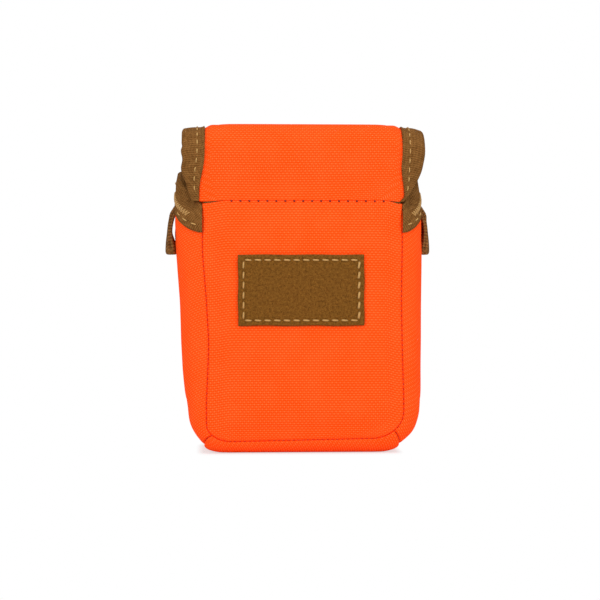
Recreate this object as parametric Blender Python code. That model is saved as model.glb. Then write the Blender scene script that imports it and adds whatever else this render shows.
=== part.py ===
"""A small padded field pouch with a forward-opening lid, two side tether loops and two rear straps.

Sizes are in metres, +Z is up and the front faces -Y. The origin lies under the middle of the flat base.
Every layer of cloth, foam or tape is a grid laid on its own middle surface and thickened by Solidify,
so a layer is described by its depth: the distance inwards from the outside of the sewn shell.
"""

import math

import bmesh
import bpy
import numpy as np
from mathutils import Matrix, Vector

# Body, outside
HALF_DEPTH = 0.0220
HALF_WIDTH_BASE = 0.0468
HALF_WIDTH_HINGE = 0.0489
CORNER_RADIUS = 0.0140
SIDE_SEAM_INSET = 0.0082
BASE_SEAM_INSET = 0.0060
TURN_DEPTH = 0.0080
FRONT_CROWN = 0.0024
HINGE_HEIGHT = 0.1027
CORNER_SPLIT = 0.62
SPLIT_HALF_GAP = 0.015

# Mouth, which climbs from the front seams to the back panel
MOUTH_FRONT = 0.0990
MOUTH_BACK = 0.1170
MOUTH_CURVE = 2.5
LEAN_START = 0.0950
BACK_LEAN = 0.0035

# Layers
GAP = 0.0003
SHELL = 0.0010
FOAM = 0.0030
LINING = 0.0006
TAPE = 0.0007
WEBBING = 0.0013
FOAM_DEPTH = SHELL + GAP
LINING_DEPTH = FOAM_DEPTH + FOAM + GAP
FOAM_DROP = 0.0200
FOAM_INSET = 0.0016
LINING_INSET = 0.0008
FRONT_FOAM_DROP = 0.0016
FRONT_LINING_DROP = 0.0012
BACK_FOAM_DROP = 0.0015
WASHER_ROOM = 0.0011
RIM_FLAT = 0.0100
RIM_EASE = 0.0180
TAPE_WIDTH = 0.0090
FOLD_RISE = 0.0010
FOLD_SHOULDER = 0.15
INNER_LEG = 0.0082
HINGE_TAPE_DROP = 0.0008
HINGE_TAPE_HEIGHT = 0.0095
HALF_TAPE = TAPE_WIDTH / 2
TAPE_INSETS = (TAPE_WIDTH, HALF_TAPE, 0.0, -FOLD_RISE, -FOLD_RISE, 0.0, HALF_TAPE, INNER_LEG)

# Lid
LID_TOP = 0.1338
LID_HALF_WIDTH = 0.0491
LIP_HALF_WIDTH = 0.0440
LID_FRONT_RADIUS = 0.0090
LID_REAR_START = 0.0030
LIP_Y = 0.0275
LIP_TOP = 0.1140
LIP_BOTTOM = 0.1040
LID_BEND_START = 0.0380
LID_BEND_LENGTH = 0.0060
LID_BEND_ANGLE = math.radians(72)
LID_BEND_HEIGHT = 0.0190
LID_CORNER_SLOPE = 0.9
LID_CORNER_START = 0.0015
LID_FOAM = 0.0025
LID_LINING_DEPTH = FOAM_DEPTH + LID_FOAM + GAP
LID_EASE = 0.0040
LID_ROWS = 15
LID_FOAM_ROWS = 10
LID_FOAM_START = 0.02
LID_TAPER_START = 0.6
LID_POCKET_START = 0.70
LID_POCKET_EASE = 0.15

# Magnets and the wall they sit in
MAGNET_RADIUS = 0.0040
MAGNET_THICKNESS = 0.0012
MAGNET_X = 0.0240
MAGNET_HEIGHT = 0.1095
MAGNET_DEPTH = 0.0022
POCKET_LINING_DEPTH = 0.0032

# Label and side loops
LABEL_WIDTH = 0.0512
LABEL_HEIGHT = 0.0288
LABEL_MIDDLE = 0.0666
LABEL_THICKNESS = 0.0012
LABEL_THREAD_INSET = 0.0018
THREAD_RADIUS = 0.0004
LOOP_PIVOT = Vector((0.0516, -0.0090, 0.0996))
LOOP_WIDTH = 0.0100
LOOP_LENGTH = 0.0165
LOOP_BEND_RADIUS = 0.0015
LOOP_LEAN = 0.0013
LOOP_THICKNESS = 0.0012
LOOP_TOP_HALF_GAP = 0.00075
BARTACK_THICKNESS = 0.0007
BARTACK_INSETS = (0.0050, 0.0072)

# Rear webbing, straps and snaps
ROW_HEIGHT = 0.0250
ROW_INSET = 0.0012
ROW_MIDDLES = {"upper_webbing": 0.0820, "lower_webbing": 0.0320}
STRAP_X = 0.0190
STRAP_WIDTH = 0.0220
STRAP_THICKNESS = 0.0014
STRAP_CLEARANCE = 0.0004
STRAP_Y = HALF_DEPTH + GAP + WEBBING + STRAP_CLEARANCE + STRAP_THICKNESS / 2
STRAP_PIVOT_HEIGHT = 0.0953
STRAP_BOTTOM = 0.0070
STRAP_LIFT = 0.0012
STRAP_FLAT_TO = 0.0240
STRAP_LIFTED_AT = 0.0190
SNAP_HEIGHT = 0.0125
SNAP_RADIUS = 0.0055
SNAP_HOLE = 0.0018
SNAP_SHANK = 0.0014
SNAP_FLANGE = 0.0046
SNAP_GAUGE = 0.0006
STUD_NECK = 0.0018
STUD_HEAD = 0.0022
STUD_HEIGHT = 0.0028
SOCKET_BORE = 0.0026
SOCKET_RADIUS = 0.0050
SOCKET_ROLL = 0.0004
SOCKET_FACE = 0.0013
CAP_DOME = 0.0013
DRILL_REACH = 0.0040
ANCHOR_BOTTOM = 0.0964
ANCHOR_TOP = 0.1015
TAB_HALF_WIDTH = 0.0075
TAB_TOP = 0.1130
TAB_BOTTOM = 0.0920
TAB_THICKNESS = 0.0022
TAB_TAPER = 0.12

# Share of the gusset's unrolled width taken by each rounded turn
TURN_ARC = math.pi / 4 * (TURN_DEPTH + SIDE_SEAM_INSET)
TURN_SHARE = TURN_ARC / (2 * TURN_ARC + 2 * (HALF_DEPTH - TURN_DEPTH))

BARTACK_CROSS = (0.75 * TURN_SHARE, TURN_SHARE, TURN_SHARE + 0.15)

SIDES = {"left": -1, "right": 1}


def clear_scene():
    """Remove every object that the file opened with."""
    for obj in list(bpy.data.objects):
        bpy.data.objects.remove(obj, do_unlink=True)


def material(name, colour, roughness, metallic=0.0):
    """A Principled material with a linear base colour."""
    made = bpy.data.materials.new(name)
    made.use_nodes = True
    shader = made.node_tree.nodes["Principled BSDF"]
    shader.inputs["Base Color"].default_value = (*colour, 1.0)
    shader.inputs["Roughness"].default_value = roughness
    shader.inputs["Metallic"].default_value = metallic
    return made


def empty(name, location, parent=None):
    """A joint's axis, or the whole pouch's origin, to parent pieces to."""
    made = bpy.data.objects.new(name, None)
    made.location = location
    made.parent = parent
    made.empty_display_size = 0.01
    bpy.context.collection.objects.link(made)
    return made


def place(name, mesh, finish, parent):
    """Link a mesh as a smooth-shaded object under its parent empty."""
    mesh.materials.append(finish)
    mesh.shade_smooth()
    mesh.set_sharp_from_angle(angle=math.radians(40))
    made = bpy.data.objects.new(name, mesh)
    made.parent = parent
    bpy.context.collection.objects.link(made)
    return made


def sheet(name, point_at, columns, rows, thickness, finish, parent):
    """A layer of cloth: a grid on its middle surface, thickened evenly to both sides."""
    mesh = bpy.data.meshes.new(name)
    bm = bmesh.new()
    bmesh.ops.create_grid(bm, x_segments=columns, y_segments=rows, size=0.5)
    for vert in bm.verts:
        vert.co = point_at(vert.co.x + 0.5, vert.co.y + 0.5) - parent.location
    bm.to_mesh(mesh)
    bm.free()
    made = place(name, mesh, finish, parent)
    thick = made.modifiers.new("Thickness", "SOLIDIFY")
    thick.thickness = thickness
    thick.offset = 0.0
    thick.use_even_offset = True
    return made


def turned(name, profile, centre, axis, finish, parent, segments=16):
    """A solid of revolution: a closed (radius, height) profile spun about an axis through centre."""
    mesh = bpy.data.meshes.new(name)
    bm = bmesh.new()
    verts = [bm.verts.new((radius, 0.0, height)) for radius, height in profile]
    edges = [bm.edges.new((verts[i - 1], verts[i])) for i in range(len(verts))]
    bmesh.ops.spin(bm, geom=verts + edges, axis=(0, 0, 1), angle=2 * math.pi, steps=segments, use_merge=True)
    bmesh.ops.remove_doubles(bm, verts=bm.verts, dist=1e-6)
    on_axis = [edge for edge in bm.edges if not edge.link_faces]
    bmesh.ops.delete(bm, geom=on_axis, context="EDGES")
    bmesh.ops.recalc_face_normals(bm, faces=bm.faces)
    turn = Vector((0, 0, 1)).rotation_difference(axis).to_matrix().to_4x4()
    bmesh.ops.transform(bm, matrix=Matrix.Translation(centre - parent.location) @ turn, verts=bm.verts)
    bm.to_mesh(mesh)
    bm.free()
    return place(name, mesh, finish, parent)


def drill(obj, centre, radius, parent):
    """Cut a round hole along Y through a piece."""
    profile = ((0, DRILL_REACH), (radius, DRILL_REACH), (radius, -DRILL_REACH), (0, -DRILL_REACH))
    name = f"{obj.name}_cutter_{round(centre.x * 1000)}"
    cutter = turned(name, profile, centre, Vector((0, 1, 0)), obj.data.materials[0], parent)
    cutter.hide_render = True
    cutter.display_type = "WIRE"
    hole = obj.modifiers.new("Snap hole", "BOOLEAN")
    hole.operation = "DIFFERENCE"
    hole.object = cutter


def staged(share, stops):
    """Value at a share, 0 to 1, of the way through equally spaced stops."""
    return float(np.interp(share, np.linspace(0, 1, len(stops)), stops))


def eased(share):
    """Smooth step from 0 to 1, flat outside."""
    held = min(max(share, 0.0), 1.0)
    return held * held * (3 - 2 * held)


def half_width(height):
    """Outside half width of the body, which widens a little upwards."""
    return HALF_WIDTH_BASE + (HALF_WIDTH_HINGE - HALF_WIDTH_BASE) * height / HINGE_HEIGHT


def back_face(height):
    """Y of the back panel's outside, which leans forward near the mouth."""
    climb = max(0.0, (height - LEAN_START) / (MOUTH_BACK - LEAN_START))
    return HALF_DEPTH - BACK_LEAN * climb**2


def front_face(x, height, depth):
    """Y of a front layer: flat along its seams and the hinge, crowned between them."""
    reach = x / (half_width(max(height, CORNER_RADIUS)) - SIDE_SEAM_INSET)
    climb = (height - BASE_SEAM_INSET) / (HINGE_HEIGHT - BASE_SEAM_INSET)
    crown = FRONT_CROWN * (1 - reach**2) * (1 - (2 * climb - 1) ** 4)
    return depth - HALF_DEPTH - crown


def outline(path, depth):
    """Seam point and outer point, each (x, z), of the right half of the body seen from the front.

    A path below 0 runs up the straight side, as metres above the corner. 0 to 1 goes round the
    corner, and 1 to 2 runs along the base to the centre line.
    """
    corner_x = half_width(CORNER_RADIUS) - CORNER_RADIUS
    if path < 0:
        height = CORNER_RADIUS - path
        return (half_width(height) - SIDE_SEAM_INSET, height), (half_width(height) - depth, height)
    if path <= 1:
        across = math.cos(path * math.pi / 2)
        down = math.sin(path * math.pi / 2)
        seam_x = corner_x + (CORNER_RADIUS - SIDE_SEAM_INSET) * across
        seam_z = CORNER_RADIUS - (CORNER_RADIUS - BASE_SEAM_INSET) * down
        radius = CORNER_RADIUS - depth
        return (seam_x, seam_z), (corner_x + radius * across, CORNER_RADIUS - radius * down)
    along_base = corner_x * (2 - path)
    return (along_base, BASE_SEAM_INSET), (along_base, depth)


def gusset_point(side, cross, path, depth):
    """Point of a gusset layer: cross runs 0 to 1 from the front seam to the back seam."""
    seam, outer = outline(path, depth)
    front = TURN_DEPTH - HALF_DEPTH
    back = back_face(seam[1]) - TURN_DEPTH
    swell = TURN_DEPTH - depth
    if cross < TURN_SHARE:
        angle = (1 - cross / TURN_SHARE) * math.pi / 2
        y = front - swell * math.sin(angle)
    elif cross > 1 - TURN_SHARE:
        angle = (1 - (1 - cross) / TURN_SHARE) * math.pi / 2
        y = back + swell * math.sin(angle)
    else:
        angle = 0.0
        y = front + (back - front) * (cross - TURN_SHARE) / (1 - 2 * TURN_SHARE)
    out = math.cos(angle)
    x = seam[0] + (outer[0] - seam[0]) * out
    z = seam[1] + (outer[1] - seam[1]) * out
    return Vector((side * x, y, z))


def mouth_height(cross):
    """Height of the gusset's cut edge, steep at the front and level at the back."""
    return MOUTH_FRONT + (MOUTH_BACK - MOUTH_FRONT) * (1 - (1 - cross) ** MOUTH_CURVE)


def cross_at(share):
    """Even columns on both turns and on the flat of the gusset."""
    return staged(share, (0.0, TURN_SHARE, 1 - TURN_SHARE, 1.0))


def side_gusset(side, depth, drop):
    """Middle surface of a side gusset layer, from drop below the mouth to the corner seam."""

    def point_at(u, v):
        cross = cross_at(u)
        top = mouth_height(cross) - drop
        straight = CORNER_RADIUS - min(top, LEAN_START) + GAP
        rim = [straight + (CORNER_RADIUS - top - straight) * share for share in (1, 2 / 3, 1 / 3, 0)]
        corner = [(CORNER_SPLIT - SPLIT_HALF_GAP) * share for share in (0, 0.25, 0.5, 0.75, 1)]
        return gusset_point(side, cross, staged(v, rim + corner), depth)

    return point_at


def bottom_gusset(depth):
    """Middle surface of a bottom gusset layer, between the two corner seams."""

    def point_at(u, v):
        side = math.copysign(1, v - 0.5)
        path = staged(abs(2 * v - 1), (2.0, 1.0, CORNER_SPLIT + SPLIT_HALF_GAP))
        return gusset_point(side, cross_at(u), path, depth)

    return point_at


def gusset_lining(u, v):
    """One band of lining round the whole gusset, drawn in to the shell under the mouth tape."""
    cross = cross_at(u)
    side = math.copysign(1, v - 0.5)
    top = mouth_height(cross) - CORNER_RADIUS
    stops = (2.0, 1.0, 0.5, 0.0, RIM_EASE - top, RIM_FLAT - top, RIM_FLAT / 2 - top, -top)
    path = staged(abs(2 * v - 1), stops)
    below_mouth = top + path if path < 0 else top
    ease = (below_mouth - RIM_FLAT) / (RIM_EASE - RIM_FLAT)
    depth = FOAM_DEPTH + (LINING_DEPTH - FOAM_DEPTH) * min(max(ease, 0.0), 1.0) + LINING / 2
    return gusset_point(side, cross, path, depth)


def panel_outline(u, v, top, inset):
    """(x, height) of a panel inset from the gusset's seams: u across, v from the base to the top."""
    lowest = CORNER_RADIUS + inset
    path = staged(v, (1.0, 0.0, lowest - min(top, LEAN_START), lowest - top))
    seam, _ = outline(path, 0.0)
    return (2 * u - 1) * (seam[0] - inset), seam[1] + inset


def front_layer(depth, top, inset=GAP):
    """Middle surface of a front layer up to a height."""

    def point_at(u, v):
        x, height = panel_outline(u, v, top, inset)
        return Vector((x, front_face(x, height, depth), height))

    return point_at


def back_layer(depth_at, top, inset=GAP):
    """Middle surface of a back layer whose depth may change with height."""

    def point_at(u, v):
        x, height = panel_outline(u, v, top, inset)
        return Vector((x, back_face(height) - depth_at(height), height))

    return point_at


def back_lining_depth(height):
    """The back lining comes forward to the magnets' pocket near the mouth."""
    ease = (MOUTH_BACK - height - RIM_FLAT) / (RIM_EASE - RIM_FLAT)
    depth = POCKET_LINING_DEPTH + (LINING_DEPTH - POCKET_LINING_DEPTH) * eased(ease)
    return depth + LINING / 2


def tape_depths(lining_depth):
    """Depths across a tape folded over an edge, to go with TAPE_INSETS: outer leg, fold, inner leg."""
    outer = -(GAP + TAPE / 2)
    inner = lining_depth + LINING + GAP + TAPE / 2
    shoulder = FOLD_SHOULDER * (inner - outer)
    return (outer, outer, outer, outer + shoulder, inner - shoulder, inner, inner, inner)


def mouth_tape(side):
    """Tape folded over a gusset's cut edge, from the front seam to the back seam."""
    depths = tape_depths(FOAM_DEPTH)

    def point_at(u, v):
        cross = cross_at(u)
        path = CORNER_RADIUS - mouth_height(cross) + staged(v, TAPE_INSETS)
        return gusset_point(side, cross, path, staged(v, depths))

    return point_at


def back_rim_tape(u, v):
    """Tape folded over the top edge of the back panel."""
    height = MOUTH_BACK - staged(v, TAPE_INSETS)
    depth = staged(v, tape_depths(POCKET_LINING_DEPTH))
    x = (2 * u - 1) * (half_width(height) - SIDE_SEAM_INSET - GAP)
    return Vector((x, back_face(height) - depth, height))


def hinge_tape(u, v):
    """Tape inside the front wall's top, turned forward over the foam to the shell."""
    inside = LINING_DEPTH + LINING + GAP + LINING / 2
    top = HINGE_HEIGHT - HINGE_TAPE_DROP
    height = staged(v, (top - HINGE_TAPE_HEIGHT, top, top))
    depth = staged(v, (inside, inside, FOAM_DEPTH))
    x = (2 * u - 1) * (half_width(height) - SIDE_SEAM_INSET - 2 * GAP)
    return Vector((x, front_face(x, height, depth), height))


def lid_edge(travel):
    """Half width of the lid, measured along the cloth, which narrows down the rear lip."""
    taper = eased((travel - LID_TAPER_START) / (1 - LID_TAPER_START))
    return LID_HALF_WIDTH + (LIP_HALF_WIDTH - LID_HALF_WIDTH) * taper


def lid_profile(past_bend, travel):
    """((y, z), inward (y, z)) along the lid in five equal stages of travel.

    They are the front wall, front bend, top, rear quarter ellipse and lip. The front wall starts
    higher towards the lid's lower corners, past_bend metres beyond where the sides turn in.
    """
    stage = min(int(travel * 5), 4)
    share = travel * 5 - stage
    if stage == 0:
        start = HINGE_HEIGHT + GAP + LID_CORNER_SLOPE * max(0.0, past_bend - LID_CORNER_START)
        return (-HALF_DEPTH, start + (LID_TOP - LID_FRONT_RADIUS - start) * share), (1, 0)
    if stage == 1:
        angle = share * math.pi / 2
        y = -HALF_DEPTH + LID_FRONT_RADIUS * (1 - math.cos(angle))
        z = LID_TOP - LID_FRONT_RADIUS * (1 - math.sin(angle))
        return (y, z), (math.cos(angle), -math.sin(angle))
    if stage == 2:
        y = -HALF_DEPTH + LID_FRONT_RADIUS
        return (y + (LID_REAR_START - y) * share, LID_TOP), (0, -1)
    if stage == 3:
        angle = share * math.pi / 2
        reach = LIP_Y - LID_REAR_START
        drop = LID_TOP - LIP_TOP
        inward = Vector((-math.sin(angle) * drop, -math.cos(angle) * reach)).normalized()
        point = (LID_REAR_START + reach * math.sin(angle), LIP_TOP + drop * math.cos(angle))
        return point, tuple(inward)
    return (LIP_Y, LIP_TOP + (LIP_BOTTOM - LIP_TOP) * share), (-1, 0)


def lid_point(cloth_x, travel, depth, beyond=0.0):
    """Point of a lid layer: cloth_x is measured along the cloth, beyond runs down past the lip's edge.

    The sides turn inwards near the hinge: an arc of LID_BEND_LENGTH, then straight.
    """
    side = math.copysign(1, cloth_x)
    past_bend = max(0.0, abs(cloth_x) - LID_BEND_START)
    (y, z), inward = lid_profile(past_bend, travel)
    bend = 0.0
    if travel < 0.2:
        bend = LID_BEND_ANGLE * (1 - eased((z - HINGE_HEIGHT) / LID_BEND_HEIGHT))
    out, back, tilt = past_bend, 0.0, 0.0
    if bend > 1e-6 and past_bend > 0:
        on_arc = min(past_bend, LID_BEND_LENGTH)
        radius = LID_BEND_LENGTH / bend
        tilt = on_arc / radius
        straight = past_bend - on_arc
        out = radius * math.sin(tilt) + straight * math.cos(tilt)
        back = radius * (1 - math.cos(tilt)) + straight * math.sin(tilt)
    x = abs(cloth_x) - past_bend + out - depth * math.sin(tilt)
    inwards = back + depth * math.cos(tilt)
    return Vector((side * x, y + inward[0] * inwards, z + inward[1] * inwards - beyond))


def lid_columns(u, edge):
    """Cloth x on columns shared by the lid's layers, close together where the sides turn in."""
    near = edge - TAPE_WIDTH
    far = near - LID_EASE
    return staged(u, (-edge, -near, -far, 0.0, far, near, edge))


def lid_layer(depth):
    """Middle surface of the lid's outer panel."""

    def point_at(u, v):
        return lid_point(lid_columns(u, lid_edge(v)), v, depth)

    return point_at


def lid_lining(u, v):
    """The lid's lining lies under the foam, and is drawn in to the panel under the edge tape."""
    edge = lid_edge(v)
    cloth_x = lid_columns(u, edge)
    pocket = eased((v - LID_POCKET_START) / LID_POCKET_EASE)
    deepest = LID_LINING_DEPTH + (POCKET_LINING_DEPTH - LID_LINING_DEPTH) * pocket
    ease = (edge - abs(cloth_x) - TAPE_WIDTH) / LID_EASE
    depth = FOAM_DEPTH + (deepest - FOAM_DEPTH) * min(max(ease, 0.0), 1.0) + LINING / 2
    return lid_point(cloth_x, v, depth)


def lid_foam(u, v):
    """Foam between the lid's panel and lining, clear of the taped edges and of the magnets."""
    travel = staged(v, (LID_FOAM_START, *(row / LID_ROWS for row in range(1, LID_FOAM_ROWS + 1))))
    half = lid_edge(travel) - TAPE_WIDTH - LID_EASE - 2 * GAP
    return lid_point((2 * u - 1) * half, travel, FOAM_DEPTH + LID_FOAM / 2)


def lid_side_tape(side):
    """Tape folded over a side edge of the lid, from the hinge corner to the lip."""
    depths = tape_depths(FOAM_DEPTH)

    def point_at(u, v):
        return lid_point(side * (lid_edge(u) - staged(v, TAPE_INSETS)), u, staged(v, depths))

    return point_at


def lip_tape(u, v):
    """Tape folded over the lip's lower edge, between the two side tapes."""
    depth = staged(v, tape_depths(POCKET_LINING_DEPTH))
    half = LIP_HALF_WIDTH - TAPE_WIDTH - 2 * GAP
    return lid_point((2 * u - 1) * half, 1.0, depth, beyond=-staged(v, TAPE_INSETS))


def label_face(u, v):
    """Middle surface of the label, laid on the crowned front panel."""
    x = (u - 0.5) * LABEL_WIDTH
    height = LABEL_MIDDLE + (v - 0.5) * LABEL_HEIGHT
    return Vector((x, front_face(x, height, -(GAP + LABEL_THICKNESS / 2)), height))


def label_thread(finish, parent):
    """The label's sewing thread: one closed run inside its edge."""
    half_x = LABEL_WIDTH / 2 - LABEL_THREAD_INSET
    half_z = LABEL_HEIGHT / 2 - LABEL_THREAD_INSET
    corners = ((-1, -1), (1, -1), (1, 1), (-1, 1), (-1, -1))
    steps = 8
    curve = bpy.data.curves.new("label_thread", "CURVE")
    curve.dimensions = "3D"
    curve.bevel_depth = THREAD_RADIUS
    curve.bevel_resolution = 0
    run = curve.splines.new("POLY")
    run.points.add(4 * steps - 1)
    depth = -(2 * GAP + LABEL_THICKNESS + THREAD_RADIUS)
    for index, point in enumerate(run.points):
        corner, share = divmod(index / steps, 1)
        start = Vector(corners[int(corner)])
        across, up = start.lerp(Vector(corners[int(corner) + 1]), share)
        x = across * half_x
        height = LABEL_MIDDLE + up * half_z
        point.co = (x, front_face(x, height, depth), height, 1.0)
    run.use_cyclic_u = True
    curve.materials.append(finish)
    made = bpy.data.objects.new("label_thread", curve)
    made.parent = parent
    bpy.context.collection.objects.link(made)


def bartack(side):
    """Dense stitching across the mouth tape where the loop is sewn in."""

    def point_at(u, v):
        cross = staged(u, BARTACK_CROSS)
        path = CORNER_RADIUS - mouth_height(cross) + staged(v, BARTACK_INSETS)
        return gusset_point(side, cross, path, -(2 * GAP + TAPE + BARTACK_THICKNESS / 2))

    return point_at


def tether_loop(side):
    """Webbing folded double: down the outer leg, round the bend and up the inner leg."""
    legs = 4
    bend_steps = 6
    top = Vector((LOOP_TOP_HALF_GAP, -GAP))
    bend = Vector((LOOP_LEAN, -LOOP_LENGTH))
    outer_x = bend.x + LOOP_BEND_RADIUS
    inner_x = bend.x - LOOP_BEND_RADIUS
    outs = [top.x + (outer_x - top.x) * eased(i / legs) for i in range(legs)]
    drops = [top.y + (bend.y - top.y) * i / legs for i in range(legs)]
    for i in range(bend_steps + 1):
        angle = math.pi * i / bend_steps
        outs.append(bend.x + LOOP_BEND_RADIUS * math.cos(angle))
        drops.append(bend.y - LOOP_BEND_RADIUS * math.sin(angle))
    for i in range(1, legs + 1):
        outs.append(inner_x - (top.x + inner_x) * i / legs)
        drops.append(bend.y + (top.y - bend.y) * i / legs)

    def point_at(u, v):
        x = LOOP_PIVOT.x + staged(v, outs)
        y = LOOP_PIVOT.y + (u - 0.5) * LOOP_WIDTH
        return Vector((side * x, y, LOOP_PIVOT.z + staged(v, drops)))

    return point_at, len(outs) - 1


def webbing_row(middle):
    """A row of webbing sewn flat across the back panel."""

    def point_at(u, v):
        height = middle + (v - 0.5) * ROW_HEIGHT
        x = (2 * u - 1) * (half_width(height) - SIDE_SEAM_INSET - ROW_INSET)
        return Vector((x, HALF_DEPTH + GAP + WEBBING / 2, height))

    return point_at


def strap(side):
    """Webbing strap hanging from its sewn end, lifted at the bottom over its snap."""
    heights = (STRAP_PIVOT_HEIGHT - GAP, STRAP_FLAT_TO, STRAP_LIFTED_AT, STRAP_BOTTOM)
    lifts = (0.0, 0.0, STRAP_LIFT, STRAP_LIFT)

    def point_at(u, v):
        x = side * STRAP_X + (u - 0.5) * STRAP_WIDTH
        return Vector((x, STRAP_Y + staged(v, lifts), staged(v, heights)))

    return point_at


def strap_anchor(side):
    """The strap's sewn end, webbing folded double against the back panel."""
    thickness = STRAP_Y + STRAP_THICKNESS / 2 - HALF_DEPTH - GAP

    def point_at(u, v):
        x = side * STRAP_X + (u - 0.5) * STRAP_WIDTH
        height = ANCHOR_BOTTOM + (ANCHOR_TOP - ANCHOR_BOTTOM) * v
        return Vector((x, HALF_DEPTH + GAP + thickness / 2, height))

    return point_at, thickness


def pull_tab(u, v):
    """Webbing tab sewn to the outside of the lip, hanging below it to be gripped."""
    x = (2 * u - 1) * TAB_HALF_WIDTH * (1 - TAB_TAPER * v)
    y = LIP_Y + 2 * GAP + TAPE + TAB_THICKNESS / 2
    return Vector((x, y, TAB_TOP + (TAB_BOTTOM - TAB_TOP) * v))


def magnet(name, middle, inward, finish, parent):
    """A flat disc magnet with a broken edge."""
    half = MAGNET_THICKNESS / 2
    edge = 0.0003
    rim = MAGNET_RADIUS - edge
    upper = ((0, half), (rim, half), (MAGNET_RADIUS, half - edge))
    profile = upper + tuple((radius, -height) for radius, height in reversed(upper))
    turned(name, profile, middle, inward, finish, parent)


def snap_pieces(side, name, metal, pouch, strap_pivot):
    """The four turned pieces of one snap: stud and washer on the pouch, cap and socket on the strap."""
    x = side * STRAP_X
    out = Vector((0, 1, 0))
    face = Vector((x, HALF_DEPTH, SNAP_HEIGHT))
    stud = (
        (0, STUD_HEIGHT),
        (STUD_NECK, STUD_HEIGHT),
        (STUD_HEAD, STUD_HEIGHT - SNAP_GAUGE),
        (STUD_NECK, SOCKET_FACE),
        (SOCKET_BORE, GAP + SNAP_GAUGE),
        (SNAP_FLANGE, GAP + SNAP_GAUGE),
        (SNAP_FLANGE, GAP),
        (SNAP_SHANK, GAP),
        (SNAP_SHANK, -SHELL - GAP),
        (0, -SHELL - GAP),
    )
    turned(f"{name}_snap_stud", stud, face, out, metal, pouch)
    inner_face = -(SHELL + GAP)
    washer = (
        (SNAP_SHANK + GAP, inner_face),
        (SNAP_FLANGE, inner_face),
        (SNAP_FLANGE, inner_face - SNAP_GAUGE),
        (SNAP_SHANK + GAP, inner_face - SNAP_GAUGE),
    )
    turned(f"{name}_snap_washer", washer, face, out, metal, pouch)
    strap_middle = STRAP_Y + STRAP_LIFT - HALF_DEPTH
    strap_inner = strap_middle - STRAP_THICKNESS / 2 - GAP
    strap_outer = strap_middle + STRAP_THICKNESS / 2 + GAP
    socket = (
        (SOCKET_BORE, strap_inner),
        (SOCKET_RADIUS, strap_inner),
        (SOCKET_RADIUS + SOCKET_ROLL, strap_inner - SOCKET_ROLL),
        (SOCKET_RADIUS, SOCKET_FACE),
        (SOCKET_BORE, SOCKET_FACE),
    )
    turned(f"{name}_snap_socket", socket, face, out, metal, strap_pivot)
    cap = (
        (0, strap_outer + CAP_DOME),
        (SNAP_RADIUS / 2, strap_outer + CAP_DOME * 0.9),
        (SNAP_FLANGE, strap_outer + CAP_DOME * 0.6),
        (SNAP_RADIUS, strap_outer),
        (SNAP_SHANK, strap_outer),
        (SNAP_SHANK, strap_inner),
        (0, strap_inner),
    )
    turned(f"{name}_snap_cap", cap, face, out, metal, strap_pivot)


def build_body(finishes, pouch):
    """The sewn body: shell panels, foam, lining and edge tapes."""
    orange, foam, lining, tape = (finishes[key] for key in ("shell", "foam", "lining", "tape"))
    panel_top = HINGE_HEIGHT - GAP
    sheet("front_panel", front_layer(SHELL / 2, panel_top), 8, 12, SHELL, orange, pouch)
    foam_middle = FOAM_DEPTH + FOAM / 2
    front_foam = front_layer(foam_middle, panel_top - FRONT_FOAM_DROP, FOAM_INSET)
    sheet("front_foam", front_foam, 8, 12, FOAM, foam, pouch)
    lining_middle = LINING_DEPTH + LINING / 2
    front_lining = front_layer(lining_middle, panel_top - FRONT_LINING_DROP, LINING_INSET)
    sheet("front_lining", front_lining, 8, 12, LINING, lining, pouch)
    sheet("hinge_tape", hinge_tape, 6, 4, LINING, tape, pouch)

    back_shell = back_layer(lambda height: SHELL / 2, MOUTH_BACK)
    back_panel = sheet("back_panel", back_shell, 8, 12, SHELL, orange, pouch)
    for side in SIDES.values():
        drill(back_panel, Vector((side * STRAP_X, HALF_DEPTH, SNAP_HEIGHT)), SNAP_HOLE, pouch)
    back_foam_depth = FOAM_DEPTH + WASHER_ROOM
    back_foam = LINING_DEPTH - GAP - back_foam_depth
    back_foam_top = MOUTH_BACK - RIM_EASE - BACK_FOAM_DROP
    middle = back_foam_depth + back_foam / 2
    back_foam_layer = back_layer(lambda height: middle, back_foam_top, FOAM_INSET)
    sheet("back_foam", back_foam_layer, 8, 12, back_foam, foam, pouch)
    back_lining = back_layer(back_lining_depth, MOUTH_BACK, LINING_INSET)
    sheet("back_lining", back_lining, 8, 12, LINING, lining, pouch)
    sheet("back_rim_binding", back_rim_tape, 8, 7, TAPE, tape, pouch)

    for name, side in SIDES.items():
        sheet(f"{name}_gusset", side_gusset(side, SHELL / 2, 0.0), 12, 8, SHELL, orange, pouch)
        sheet(f"{name}_gusset_foam", side_gusset(side, foam_middle, FOAM_DROP), 12, 8, FOAM, foam, pouch)
        sheet(f"{name}_mouth_binding", mouth_tape(side), 12, 7, TAPE, tape, pouch)
    sheet("bottom_gusset", bottom_gusset(SHELL / 2), 12, 8, SHELL, orange, pouch)
    sheet("bottom_foam", bottom_gusset(foam_middle), 12, 8, FOAM, foam, pouch)
    sheet("gusset_lining", gusset_lining, 12, 14, LINING, lining, pouch)


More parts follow.
